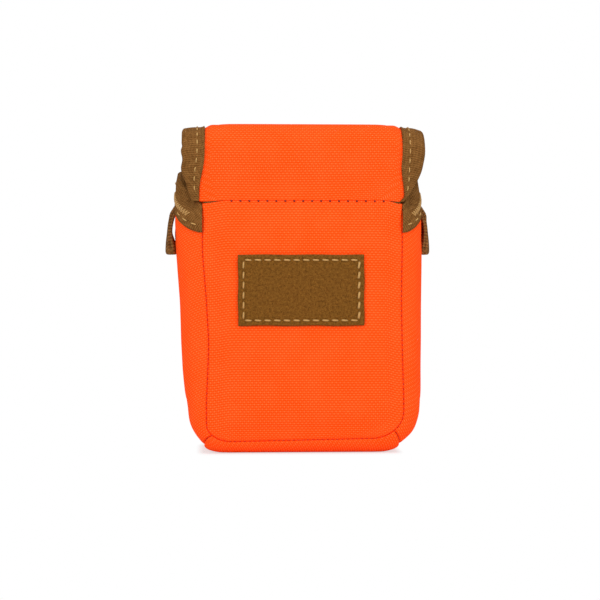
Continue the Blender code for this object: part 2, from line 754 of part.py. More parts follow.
def build_trim(finishes, pouch):
    """The label, the tether loops with their bartacks, and the body's magnets."""
    sheet("label_patch", label_face, 6, 4, LABEL_THICKNESS, finishes["label"], pouch)
    label_thread(finishes["thread"], pouch)
    for name, side in SIDES.items():
        sheet(f"{name}_bartack", bartack(side), 4, 1, BARTACK_THICKNESS, finishes["thread"], pouch)
        pivot = empty(f"{name}_loop_pivot", Vector((side * LOOP_PIVOT.x, LOOP_PIVOT.y, LOOP_PIVOT.z)), pouch)
        route, rows = tether_loop(side)
        sheet(f"{name}_tether_loop", route, 2, rows, LOOP_THICKNESS, finishes["webbing"], pivot)
        slope = -2 * BACK_LEAN * (MAGNET_HEIGHT - LEAN_START) / (MOUTH_BACK - LEAN_START) ** 2
        outward = Vector((0, 1, -slope)).normalized()
        face = Vector((side * MAGNET_X, back_face(MAGNET_HEIGHT), MAGNET_HEIGHT))
        magnet(f"{name}_back_magnet", face - outward * MAGNET_DEPTH, outward, finishes["steel"], pouch)


def build_rear(finishes, pouch):
    """Webbing rows, and two straps that swing out from their sewn ends and snap shut below."""
    webbing = finishes["webbing"]
    for name, middle in ROW_MIDDLES.items():
        sheet(name, webbing_row(middle), 4, 2, WEBBING, webbing, pouch)
    for name, side in SIDES.items():
        anchor, thickness = strap_anchor(side)
        sheet(f"{name}_strap_anchor", anchor, 2, 1, thickness, webbing, pouch)
        pivot = empty(f"{name}_strap_pivot", Vector((side * STRAP_X, STRAP_Y, STRAP_PIVOT_HEIGHT)), pouch)
        made = sheet(f"{name}_strap", strap(side), 2, 12, STRAP_THICKNESS, webbing, pivot)
        drill(made, Vector((side * STRAP_X, STRAP_Y + STRAP_LIFT, SNAP_HEIGHT)), SNAP_HOLE, pivot)
        snap_pieces(side, name, finishes["snap"], pouch, pivot)


def build_lid(finishes, pouch):
    """The lid and all that turns with it about the front hinge line."""
    hinge = empty("lid_hinge", Vector((0, -HALF_DEPTH, HINGE_HEIGHT)), pouch)
    tape = finishes["tape"]
    sheet("lid_panel", lid_layer(SHELL / 2), 12, LID_ROWS, SHELL, finishes["shell"], hinge)
    sheet("lid_foam", lid_foam, 6, LID_FOAM_ROWS, LID_FOAM, finishes["foam"], hinge)
    sheet("lid_lining", lid_lining, 12, LID_ROWS, LINING, finishes["lining"], hinge)
    sheet("lid_lip_binding", lip_tape, 8, 7, TAPE, tape, hinge)
    sheet("lid_pull_tab", pull_tab, 2, 3, TAB_THICKNESS, finishes["webbing"], hinge)
    for name, side in SIDES.items():
        sheet(f"{name}_lid_binding", lid_side_tape(side), LID_ROWS, 7, TAPE, tape, hinge)
        middle = Vector((side * MAGNET_X, LIP_Y - MAGNET_DEPTH, MAGNET_HEIGHT))
        magnet(f"{name}_lid_magnet", middle, Vector((0, 1, 0)), finishes["steel"], hinge)


def main():
    """Build the pouch from an empty scene."""
    clear_scene()
    finishes = {
        "shell": material("orange_nylon", (1.0, 0.095, 0.010), 0.85),
        "foam": material("padding_foam", (0.55, 0.53, 0.48), 0.95),
        "lining": material("lining_nylon", (0.19, 0.14, 0.075), 0.80),
        "tape": material("brown_binding_tape", (0.21, 0.092, 0.024), 0.85),
        "webbing": material("brown_webbing", (0.20, 0.088, 0.024), 0.85),
        "label": material("brown_leather_label", (0.19, 0.080, 0.012), 0.90),
        "thread": material("tan_thread", (0.42, 0.25, 0.075), 0.70),
        "steel": material("plated_magnet", (0.62, 0.62, 0.60), 0.35, 1.0),
        "snap": material("blackened_brass_snap", (0.045, 0.042, 0.038), 0.40, 1.0),
    }
    pouch = empty("pouch", Vector((0, 0, 0)))
    build_body(finishes, pouch)
    build_trim(finishes, pouch)
    build_rear(finishes, pouch)
    build_lid(finishes, pouch)


main()
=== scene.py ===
"""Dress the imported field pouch: padded shells, linings, tapes, webbing, stitching, patch, snaps and studio.

Lengths are metres unless a name says millimetres. +Z is up and the front of the pouch faces -Y.
Cloth is laid out by depth, the distance inwards from the outside of the sewn shell.
"""

import logging
import math
from collections.abc import Callable, Iterable
from dataclasses import dataclass, field
from enum import Enum

import bpy
import numpy as np
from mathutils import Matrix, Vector


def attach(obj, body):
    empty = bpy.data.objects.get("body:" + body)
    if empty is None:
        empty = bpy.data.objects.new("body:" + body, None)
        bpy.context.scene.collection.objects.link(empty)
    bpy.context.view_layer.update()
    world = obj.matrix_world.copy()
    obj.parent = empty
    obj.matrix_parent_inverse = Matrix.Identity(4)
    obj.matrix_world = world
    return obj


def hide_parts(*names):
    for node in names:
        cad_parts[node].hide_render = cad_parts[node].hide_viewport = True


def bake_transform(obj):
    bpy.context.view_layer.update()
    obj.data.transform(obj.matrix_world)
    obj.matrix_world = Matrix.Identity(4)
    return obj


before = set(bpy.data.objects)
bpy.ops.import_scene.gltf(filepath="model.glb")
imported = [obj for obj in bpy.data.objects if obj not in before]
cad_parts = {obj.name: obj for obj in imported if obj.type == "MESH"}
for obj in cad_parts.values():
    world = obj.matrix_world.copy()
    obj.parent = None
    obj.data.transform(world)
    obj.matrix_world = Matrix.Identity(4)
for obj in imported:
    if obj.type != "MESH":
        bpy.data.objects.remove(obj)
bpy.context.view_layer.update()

log = logging.getLogger("pouch")

Array = np.ndarray
Surface = Callable[[Array, float], Array]

MM = 1000.0


class Side(Enum):
    """The two sides of the pouch, seen from the front."""

    LEFT = -1
    RIGHT = 1

    @property
    def word(self) -> str:
        """The side's word in the names of pieces."""
        return self.name.lower()


class Lie(Enum):
    """Where a layer's thickness goes from its computed surface, as Solidify's offset."""

    INWARDS = -1.0
    BOTH_WAYS = 0.0


def eased(share: Array) -> Array:
    """Smooth step: three squares less two cubes of a share held from 0 to 1.

    Args:
        share: Any real numbers.

    Returns:
        Numbers from 0 to 1, flat at both ends.
    """
    held = np.clip(share, 0.0, 1.0)
    return held * held * (3 - 2 * held)


def crowded(count: int, share: float = 0.6) -> Array:
    """Numbers from -1 to 1, closer together towards both ends: a line mixed with a quarter sine.

    Args:
        count: How many steps.
        share: How much of the mix is the sine.

    Returns:
        count + 1 numbers.
    """
    even = np.linspace(-1.0, 1.0, count + 1)
    return (1 - share) * even + share * np.sin(even * math.pi / 2)


def stacked(x: Array, y: Array, z: Array) -> Array:
    """Points from three arrays that broadcast together.

    Args:
        x: First coordinates.
        y: Second coordinates.
        z: Third coordinates.

    Returns:
        An array with a last axis of 3.
    """
    return np.stack(np.broadcast_arrays(x, y, z), axis=-1)


def unit(vectors: Array) -> Array:
    """Vectors at length 1, with a null vector left null.

    Args:
        vectors: Vectors on the last axis.

    Returns:
        Vectors of the same shape.
    """
    return vectors / np.maximum(np.linalg.norm(vectors, axis=-1, keepdims=True), 1e-12)


def unrolled(points: Array) -> Array:
    """Cloth coordinates of a grid: how far each point is along its row and up its column.

    Both are running sums of the grid's edge lengths, counted from the middle column and the
    last row, so that a weave drawn on them keeps its real size and follows the cloth.

    Args:
        points: Grid of points, rows by columns by 3.

    Returns:
        Grid of (along, up), in millimetres.
    """
    steps_along = np.linalg.norm(np.diff(points, axis=1), axis=2)
    steps_up = np.linalg.norm(np.diff(points, axis=0), axis=2)
    along = np.pad(np.cumsum(steps_along, axis=1), ((0, 0), (1, 0)))
    up = np.pad(np.cumsum(steps_up, axis=0), ((1, 0), (0, 0)))
    along -= along[:, along.shape[1] // 2, None]
    up = up[-1] - up
    return np.stack((along, up), axis=-1) * MM


def grid_faces(rows: int, columns: int, around: bool = False) -> Array:
    """Quads of a grid of points, as indices into its flattened points.

    Args:
        rows: Rows of points.
        columns: Points in a row.
        around: Whether each row closes on itself.

    Returns:
        Array of faces by 4.
    """
    index = np.arange(rows * columns).reshape(rows, columns)
    if around:
        index = np.concatenate((index, index[:, :1]), axis=1)
    corners = (index[:-1, :-1], index[:-1, 1:], index[1:, 1:], index[1:, :-1])
    return np.stack(corners, axis=-1).reshape(-1, 4)


def put_mesh(
    name: str, points: Array, faces: Array, uv: Array, material: bpy.types.Material
) -> bpy.types.Object:
    """Make a smooth-shaded mesh object at the origin from arrays.

    Args:
        name: The piece's name.
        points: Vertices by 3.
        faces: Faces by 4.
        uv: Vertices by 2, in millimetres of cloth.
        material: The finish.

    Returns:
        The new object, linked to the scene.
    """
    mesh = bpy.data.meshes.new(name)
    mesh.vertices.add(len(points))
    mesh.vertices.foreach_set("co", np.ascontiguousarray(points, dtype=np.float32).ravel())
    mesh.loops.add(faces.size)
    mesh.loops.foreach_set("vertex_index", np.ascontiguousarray(faces, dtype=np.int32).ravel())
    mesh.polygons.add(len(faces))
    mesh.polygons.foreach_set("loop_start", np.arange(0, faces.size, faces.shape[1], dtype=np.int32))
    mesh.update(calc_edges=True)
    layer = mesh.uv_layers.new(name="Cloth")
    layer.data.foreach_set("uv", np.ascontiguousarray(uv[faces.ravel()], dtype=np.float32).ravel())
    mesh.materials.append(material)
    mesh.validate()
    mesh.shade_smooth()
    made = bpy.data.objects.new(name, mesh)
    bpy.context.scene.collection.objects.link(made)
    return made


def facing_out(points: Array, outward: tuple[float, float, float]) -> Array:
    """The grid, or the grid with its columns turned round, so that its middle faces outward.

    Args:
        points: Grid of points, rows by columns by 3.
        outward: Rough direction that the middle of the grid faces.

    Returns:
        The grid, with faces that point the right way.
    """
    row, column = points.shape[0] // 2, points.shape[1] // 2
    across = points[row, column + 1] - points[row, column - 1]
    down = points[row + 1, column] - points[row - 1, column]
    return points if np.dot(np.cross(across, down), outward) > 0 else points[:, ::-1]


def cloth_piece(
    name: str,
    points: Array,
    thickness: float,
    material: bpy.types.Material,
    outward: tuple[float, float, float],
    lie: Lie = Lie.BOTH_WAYS,
) -> bpy.types.Object:
    """A layer of cloth, tape or webbing: a grid given its thickness by Solidify.

    Args:
        name: The piece's name.
        points: Grid of points, rows by columns by 3.
        thickness: The layer's thickness.
        material: The finish.
        outward: Rough direction that the middle of the grid faces.
        lie: Where the thickness goes.

    Returns:
        The new object.
    """
    turned = facing_out(points, outward)
    rows, columns = turned.shape[:2]
    uv = unrolled(turned).reshape(-1, 2)
    made = put_mesh(name, turned.reshape(-1, 3), grid_faces(rows, columns), uv, material)
    layer = made.modifiers.new("Thickness", "SOLIDIFY")
    layer.thickness = thickness
    layer.offset = lie.value
    layer.use_even_offset = True
    return made


def dress(
    piece: bpy.types.Object,
    body: str,
    nodes: Iterable[str] = (),
) -> bpy.types.Object:
    """Put a piece on its body, hide the solids that it stands for, and log it.

    Args:
        piece: The finished piece.
        body: The body that it moves with, or nothing, which leaves it on no body.
        nodes: Solids that it replaces.

    Returns:
        The piece.
    """
    if body:
        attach(piece, body)
    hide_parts(*nodes)
    log.info("%s on %s, %d faces", piece.name, body or "two bodies", len(piece.data.polygons))
    return piece


@dataclass(frozen=True)
class StitchRow:
    """Where the stitches of one row start and end, and which way is out of the cloth."""

    starts: Array
    ends: Array
    normals: Array

    @classmethod
    def along(
        cls,
        surface: Surface,
        depth: float,
        pitch: float,
        fill: float,
        span: tuple[float, float] = (0.0, 1.0),
        slant: float = 0.0,
    ) -> "StitchRow":
        """Even stitches along a line that a surface gives for every depth.

        The line's length is the running sum of 400 steps, stitches start every pitch along it,
        and out of the cloth is the way a point moves as its depth shrinks.

        Args:
            surface: Points for shares 0 to 1 of the line, at a depth.
            depth: Depth that the thread lies at.
            pitch: Distance from stitch to stitch.
            fill: Share of the pitch that shows thread.
            span: First and last share of the line.
            slant: Sideways offset of a stitch's ends, as a share of its length.

        Returns:
            The row.
        """
        shares = np.linspace(*span, 401)
        line = surface(shares, depth)
        run = np.concatenate(([0.0], np.cumsum(np.linalg.norm(np.diff(line, axis=0), axis=1))))
        count = max(1, round(run[-1] / pitch))
        step = run[-1] / count
        first = (np.arange(count) + (1 - fill) / 2) * step
        near = np.interp(first, run, shares)
        far = np.interp(first + fill * step, run, shares)
        middle = (near + far) / 2
        lift = 0.0005
        normals = unit(surface(middle, depth - lift) - surface(middle, depth + lift))
        starts, ends = surface(near, depth), surface(far, depth)
        sideways = np.cross(unit(ends - starts), normals) * (slant * fill * step)
        return cls(starts - sideways / 2, ends + sideways / 2, normals)

    def joined(self, *others: "StitchRow") -> "StitchRow":
        """This row and others as one."""
        rows = (self, *others)
        return StitchRow(*(np.concatenate([getattr(row, key) for row in rows]) for key in self.__dict__))

    def piece(
        self, name: str, radius: float, material: bpy.types.Material, rise: float = 1.0
    ) -> bpy.types.Object:
        """All the stitches as one mesh of small tubes.

        Each tube has 7 rings of 6 points on a line that arches out of the cloth as a sine,
        from sunk at both needle holes to rise radii high, and narrows to its closed ends.

        Args:
            name: The piece's name.
            radius: The thread's radius.
            material: The finish.
            rise: How far the arch stands out, in radii.

        Returns:
            The new object.
        """
        stations = np.linspace(0.0, 1.0, 7)
        girth = np.array((0.05, 0.75, 1.0, 1.0, 1.0, 0.75, 0.05))
        spokes = np.arange(6) * math.pi / 3
        along = unit(self.ends - self.starts)
        out = unit(self.normals - along * np.sum(self.normals * along, axis=1, keepdims=True))
        across = np.cross(along, out)
        arch = (np.sin(stations * math.pi) * (rise + 1.2) - 1.2) * radius
        line = self.starts[:, None] + (self.ends - self.starts)[:, None] * stations[:, None]
        line = line + out[:, None] * arch[:, None]
        ring = across[:, None] * np.cos(spokes)[:, None] + out[:, None] * np.sin(spokes)[:, None]
        points = line[:, :, None] + ring[:, None] * (girth * radius)[:, None, None]
        count = len(self.starts)
        per_stitch = stations.size * spokes.size
        faces = grid_faces(stations.size, spokes.size, around=True)[:, ::-1]
        faces = (faces + np.arange(count)[:, None, None] * per_stitch).reshape(-1, 4)
        uv = np.empty((count, stations.size, spokes.size, 2))
        uv[..., 0] = stations[:, None]
        uv[..., 1] = np.linalg.norm(self.ends - self.starts, axis=1)[:, None, None] * MM
        made = put_mesh(name, points.reshape(-1, 3), faces, uv.reshape(-1, 2), material)
        close_ends(made, count, per_stitch, spokes.size)
        return made


def close_ends(made: bpy.types.Object, count: int, per_stitch: int, sides: int) -> None:
    """Draw the first and last ring of every tube together into a point, so that the tube is closed.

    Args:
        made: A mesh of tubes of the same size.
        count: How many tubes.
        per_stitch: Points in a tube.
        sides: Points in a ring.
    """
    mesh = made.data
    flat = np.empty(len(mesh.vertices) * 3, dtype=np.float32)
    mesh.vertices.foreach_get("co", flat)
    tubes = flat.reshape(count, per_stitch, 3)
    tubes[:, :sides] = tubes[:, :sides].mean(axis=1, keepdims=True)
    tubes[:, -sides:] = tubes[:, -sides:].mean(axis=1, keepdims=True)
    mesh.vertices.foreach_set("co", tubes.ravel())
    weld = made.modifiers.new("Closed ends", "WELD")
    weld.merge_threshold = 1e-7


def linear(colour: str) -> tuple[float, float, float, float]:
    """Linear colour with alpha from an sRGB hex value: the standard curve, straight near black.

    Args:
        colour: Six hex digits after a hash.

    Returns:
        Red, green, blue and alpha.
    """
    coded = np.array([int(colour[i : i + 2], 16) for i in (1, 3, 5)]) / 255
    values = np.where(coded <= 0.04045, coded / 12.92, ((coded + 0.055) / 1.055) ** 2.4)
    return (*map(float, values), 1.0)


def add_node(
    tree: bpy.types.NodeTree,
    kind: str,
    inputs: dict[str | int, object] | None = None,
    **settings: object,
) -> bpy.types.Node:
    """Add a node with its settings, input values and incoming links.

    Args:
        tree: The material's or world's nodes.
        kind: Blender's name for the node.
        inputs: Value, or socket to link from, for each input by name or place.
        settings: Properties of the node.

    Returns:
        The node.
    """
    node = tree.nodes.new(kind)
    for key, value in settings.items():
        setattr(node, key, value)
    for key, value in (inputs or {}).items():
        if isinstance(value, bpy.types.NodeSocket):
            tree.links.new(value, node.inputs[key])
        else:
            node.inputs[key].default_value = value
    return node


def math_value(
    tree: bpy.types.NodeTree, operation: str, *values: object, clamp: bool = False
) -> bpy.types.NodeSocket:
    """The result of a Math node.

    Args:
        tree: The material's or world's nodes.
        operation: Blender's name for the sum.
        values: Numbers or sockets that go in.
        clamp: Whether the result is held from 0 to 1.

    Returns:
        The result's socket.
    """
    inputs = dict(enumerate(values))
    return add_node(tree, "ShaderNodeMath", inputs, operation=operation, use_clamp=clamp).outputs[0]


def map_range(
    tree: bpy.types.NodeTree,
    value: bpy.types.NodeSocket,
    given: tuple[float, float] = (0.0, 1.0),
    wanted: tuple[float, float] = (0.0, 1.0),
) -> bpy.types.NodeSocket:
    """A value carried from one range to another and held there.

    Args:
        tree: The material's or world's nodes.
        value: The value.
        given: Its range.
        wanted: The new range.

    Returns:
        The result's socket.
    """
    keys = ("From Min", "From Max", "To Min", "To Max")
    inputs = {"Value": value, **dict(zip(keys, given + wanted))}
    return add_node(tree, "ShaderNodeMapRange", inputs).outputs[0]


def two_tone(
    tree: bpy.types.NodeTree,
    shader: bpy.types.Node,
    share: bpy.types.NodeSocket,
    colours: tuple[str, str],
    surface: tuple[float, float],
) -> None:
    """Give a shader a mix of two colours, and its roughness and gloss.

    Args:
        tree: The material's nodes.
        shader: Its shader.
        share: How much of the second colour shows.
        colours: The two sRGB hex colours.
        surface: Roughness and specular level.
    """
    inputs = {0: share, 6: linear(colours[0]), 7: linear(colours[1])}
    tint = add_node(tree, "ShaderNodeMix", inputs, data_type="RGBA")
    tree.links.new(tint.outputs[2], shader.inputs["Base Color"])
    for key, value in zip(("Roughness", "Specular IOR Level"), surface):
        shader.inputs[key].default_value = value


def add_bump(
    tree: bpy.types.NodeTree,
    shader: bpy.types.Node,
    height: bpy.types.NodeSocket,
    strength: float,
    distance: float,
) -> None:
    """Give a shader the bump of a height.

    Args:
        tree: The material's nodes.
        shader: Its shader.
        height: The height.
        strength: How strongly it shows.
        distance: Depth of the relief.
    """
    bump = add_node(tree, "ShaderNodeBump", {"Height": height, "Strength": strength, "Distance": distance})
    tree.links.new(bump.outputs[0], shader.inputs["Normal"])


def cloth_noise(
    tree: bpy.types.NodeTree,
    cloth: bpy.types.NodeSocket,
    scale: float,
    detail: float,
    roughness: float = 0.5,
) -> bpy.types.NodeSocket:
    """Noise on the cloth's millimetres.

    Args:
        tree: The material's nodes.
        cloth: The cloth's coordinates.
        scale: Patches in a millimetre.
        detail: Finer octaves.
        roughness: Weight of the finer octaves.

    Returns:
        The noise's socket.
    """
    inputs = {"Vector": cloth, "Scale": scale, "Detail": detail, "Roughness": roughness}
    return add_node(tree, "ShaderNodeTexNoise", inputs, noise_dimensions="2D").outputs[0]


def cloth_waves(
    tree: bpy.types.NodeTree, cloth: bpy.types.NodeSocket, turns: tuple[float, float]
) -> list[bpy.types.NodeSocket]:
    """Sines of the cloth's place across and up.

    Args:
        tree: The material's nodes.
        cloth: The cloth's coordinates.
        turns: Radians in a millimetre, across and up.

    Returns:
        The two sines' sockets.
    """
    split = add_node(tree, "ShaderNodeSeparateXYZ", {0: cloth})
    phases = [math_value(tree, "MULTIPLY", split.outputs[axis], turn) for axis, turn in enumerate(turns)]
    return [math_value(tree, "SINE", phase) for phase in phases]


def new_material(name: str) -> tuple[bpy.types.Material, bpy.types.NodeTree, bpy.types.Node]:
    """An empty material with a Principled shader on its output.

    Args:
        name: The material's name.

    Returns:
        The material, its nodes and the shader.
    """
    made = bpy.data.materials.new(name)
    made.use_nodes = True
    tree = made.node_tree
    tree.nodes.clear()
    shader = add_node(tree, "ShaderNodeBsdfPrincipled")
    add_node(tree, "ShaderNodeOutputMaterial", {"Surface": shader.outputs[0]})
    return made, tree, shader


@dataclass(frozen=True)
class PlainWeave:
    """Plain-woven nylon pack cloth: a check of raised warp and weft threads, dull with a little sheen.

    The eye sees fine light dots, one where each warp thread passes over, on a deeper ground; the lighter
    colour on these raised thread tops is a painted highlight.
    Its weak glow is painted light: the cloth emits its deep colour, so it stays red where shade falls.
    """

    name: str
    light: str
    deep: str
    warp_mm: float = 0.81
    weft_mm: float = 0.98
    roughness: float = 0.82
    relief: float = 0.35
    # strength of the painted glow
    glow: float = 0.0
    highlight_power: float = 1.0
    column_share: float = 0.55
    check_share: float = 0.45

    def build(self) -> bpy.types.Material:
        """The material: squares of a sine across and of a sine up, and their product, on the cloth's place.

        Returns:
            The new material.
        """
        made, tree, shader = new_material(self.name)
        cloth = add_node(tree, "ShaderNodeUVMap", uv_map="Cloth").outputs[0]
        across, up = cloth_waves(tree, cloth, (math.pi / self.warp_mm, math.pi / self.weft_mm))
        columns = math_value(tree, "MULTIPLY", across, across)
        rows = math_value(tree, "MULTIPLY", up, up)
        check = math_value(tree, "MULTIPLY", across, up)
        cells = math_value(tree, "MULTIPLY_ADD", columns, self.column_share, rows)
        height = math_value(tree, "MULTIPLY_ADD", check, self.check_share, cells)
        # painted highlight: the lighter colour goes on the raised thread tops, as a power of their height
        highlit_tops = math_value(tree, "POWER", map_range(tree, height, (-0.1, 1.75)), self.highlight_power)
        drift = map_range(tree, cloth_noise(tree, cloth, 0.09, 2.0), (0.3, 0.7), (-0.04, 0.04))
        share = math_value(tree, "ADD", highlit_tops, drift, clamp=True)
        two_tone(tree, shader, share, (self.deep, self.light), (self.roughness, 0.03))
        add_bump(tree, shader, height, self.relief, 0.00025)
        # painted glow: emission in the cloth's deep colour keeps it red in shade
        shader.inputs["Emission Color"].default_value = linear(self.deep)
        shader.inputs["Emission Strength"].default_value = self.glow
        return made


@dataclass(frozen=True)
class RibbedTape:
    """Grosgrain binding or webbing: cross ribs along its length, with the rib's threads across them.

    The eye sees fine ribs whose tops are painted lighter as a highlight, and a slightly uneven brown where
    threads lie unevenly.
    Real ribs are about 0.4 mm apart on the binding; they are drawn twice as coarse so that they show.
    """

    name: str
    light: str
    deep: str
    rib_mm: float
    thread_mm: float
    ribs_run_up: bool
    relief: float = 0.6
    roughness: float = 0.85

    def build(self) -> bpy.types.Material:
        """The material: a sine rib along the tape, broken by a finer sine across it and by slow noise.

        Returns:
            The new material.
        """
        made, tree, shader = new_material(self.name)
        cloth = add_node(tree, "ShaderNodeUVMap", uv_map="Cloth").outputs[0]
        pitches = (self.thread_mm, self.rib_mm) if self.ribs_run_up else (self.rib_mm, self.thread_mm)
        waves = cloth_waves(tree, cloth, tuple(2 * math.pi / pitch for pitch in pitches))
        ribs, threads = reversed(waves) if self.ribs_run_up else waves
        rib = math_value(tree, "MULTIPLY_ADD", threads, 0.45, ribs)
        blotch = map_range(tree, cloth_noise(tree, cloth, 0.45, 4.0), (0.3, 0.7), (-0.9, 0.9))
        # painted highlight: the rib's height also lightens the colour on rib tops; the noise is the real
        # uneven brown
        share = map_range(tree, math_value(tree, "ADD", rib, blotch), (-1.8, 1.8))
        two_tone(tree, shader, share, (self.deep, self.light), (self.roughness, 0.05))
        add_bump(tree, shader, rib, self.relief, 0.0002)
        return made


@dataclass(frozen=True)
class SewingThread:
    """Bonded nylon thread: a slight gloss along each stitch, with painted shade at both ends where it dives
    into its needle holes.
    """

    name: str
    colour: str
    hole: str
    hole_share: float = 0.12
    roughness: float = 0.55

    def build(self) -> bpy.types.Material:
        """The material: the thread's colour along a stitch, and a dark colour towards both ends as painted
        shade of the needle holes.

        Returns:
            The new material.
        """
        made, tree, shader = new_material(self.name)
        stitch = add_node(tree, "ShaderNodeUVMap", uv_map="Cloth")
        split = add_node(tree, "ShaderNodeSeparateXYZ", {0: stitch.outputs[0]})
        reach = math_value(tree, "ABSOLUTE", math_value(tree, "SUBTRACT", split.outputs[0], 0.5))
        # painted shade: the thread darkens towards both ends, where it dives into its holes
        share = map_range(tree, reach, (0.5 - 1.6 * self.hole_share, 0.5 - self.hole_share / 2))
        two_tone(tree, shader, share, (self.colour, self.hole), (self.roughness, 0.35))
        return made


@dataclass(frozen=True)
class BrushedLeather:
    """Brushed leather: a short mottled nap with fine grain, quite without gloss."""

    name: str
    light: str
    deep: str
    nap_mm: float = 1.1
    grain_mm: float = 0.5
    roughness: float = 0.95

    def build(self) -> bpy.types.Material:
        """The material: the sum of two sizes of noise on the cloth's millimetres, as colour and as bump.

        Returns:
            The new material.
        """
        made, tree, shader = new_material(self.name)
        cloth = add_node(tree, "ShaderNodeUVMap", uv_map="Cloth").outputs[0]
        nap = cloth_noise(tree, cloth, 1.0 / self.nap_mm, 3.0, 0.6)
        both = math_value(tree, "ADD", nap, cloth_noise(tree, cloth, 1.0 / self.grain_mm, 2.0, 0.6))
        share = map_range(tree, both, (0.62, 1.38))
        two_tone(tree, shader, share, (self.deep, self.light), (self.roughness, 0.04))
        add_bump(tree, shader, both, 0.5, 0.0002)
        return made


@dataclass(frozen=True)
class PlatedMetal:
    """Plated or blackened metal: a soft gloss with small uneven patches from handling."""

    name: str
    colour: str
    rough_low: float
    rough_high: float
    patch_mm: float = 1.2

    def build(self) -> bpy.types.Material:
        """The material: one metal colour, with noise on the object's place in its roughness."""
        made, tree, shader = new_material(self.name)
        place = add_node(tree, "ShaderNodeTexCoord")
        noise = add_node(
            tree,
            "ShaderNodeTexNoise",
            {"Vector": place.outputs["Object"], "Scale": MM / self.patch_mm, "Detail": 3.0},
        )
        rough = map_range(tree, noise.outputs[0], (0.0, 1.0), (self.rough_low, self.rough_high))
        tree.links.new(rough, shader.inputs["Roughness"])
        shader.inputs["Base Color"].default_value = linear(self.colour)
        shader.inputs["Metallic"].default_value = 1.0
        return made


@dataclass(frozen=True)
class Finishes:
    """Every finish on the pouch, built once."""

    shell: bpy.types.Material
    lining: bpy.types.Material
    tape: bpy.types.Material
    webbing: bpy.types.Material
    thread: bpy.types.Material
    patch_thread: bpy.types.Material
    bartack_thread: bpy.types.Material
    seam_thread: bpy.types.Material
    dark_thread: bpy.types.Material
    brown_thread: bpy.types.Material
    leather: bpy.types.Material
    snap: bpy.types.Material
    magnet: bpy.types.Material

    @classmethod
    def made(cls) -> "Finishes":
        """Build the materials.

        Returns:
            All of them.
        """
        return cls(
            shell=PlainWeave(
                "orange_nylon_pack_cloth", "#ff7038", "#ff4500", relief=0.5, glow=0.12, highlight_power=1.8
            ).build(),
            lining=PlainWeave("khaki_nylon_lining", "#8a7450", "#735f3e", 0.7, 0.7, 0.7).build(),
            tape=RibbedTape("brown_grosgrain_tape", "#8e6233", "#66411b", 0.9, 1.4, False).build(),
            webbing=RibbedTape("brown_nylon_webbing", "#96693a", "#5c3b1b", 1.3, 1.6, True, 0.9).build(),
            thread=SewingThread("tan_bonded_thread", "#bb9152", "#2a180a", 0.13).build(),
            patch_thread=SewingThread("tan_patch_thread", "#b98f50", "#1c0e05", 0.14).build(),
            bartack_thread=SewingThread("tan_bartack_thread", "#b0854a", "#6e4a20").build(),
            seam_thread=SewingThread("orange_bonded_thread", "#d82a04", "#a01402", 0.28).build(),
            # painted shade: the hinge stitches are dark red for the shade in the sunk seam
            dark_thread=SewingThread("hinge_thread_in_painted_shade", "#861a06", "#6a1004").build(),
            brown_thread=SewingThread("brown_bonded_thread", "#7d5527", "#2e1b0b").build(),
            leather=BrushedLeather("brown_brushed_leather", "#875a23", "#533410").build(),
            snap=PlatedMetal("blackened_brass", "#3d3a36", 0.3, 0.55).build(),
            magnet=PlatedMetal("nickel_plated_steel", "#c9c8c4", 0.2, 0.4).build(),
        )


@dataclass(frozen=True)
class Slump:
    """How far a soft edge has moved outwards at a few heights, both in millimetres."""

    heights: tuple[float, ...]
    moves: tuple[float, ...]
    taps: int = 37

    def at(self, height: Array) -> Array:
        """Outward move: straight lines between the given heights, rounded by a weighted running mean.

        Args:
            height: Heights, in metres.

        Returns:
            Moves, in metres.
        """
        fine = np.arange(-20.0, 150.0, 0.25)
        weights = np.hanning(self.taps)
        straight = np.pad(np.interp(fine, self.heights, self.moves), self.taps // 2, mode="edge")
        rounded = np.convolve(straight, weights / weights.sum(), "valid")
        return np.interp(height * MM, fine, rounded) / MM


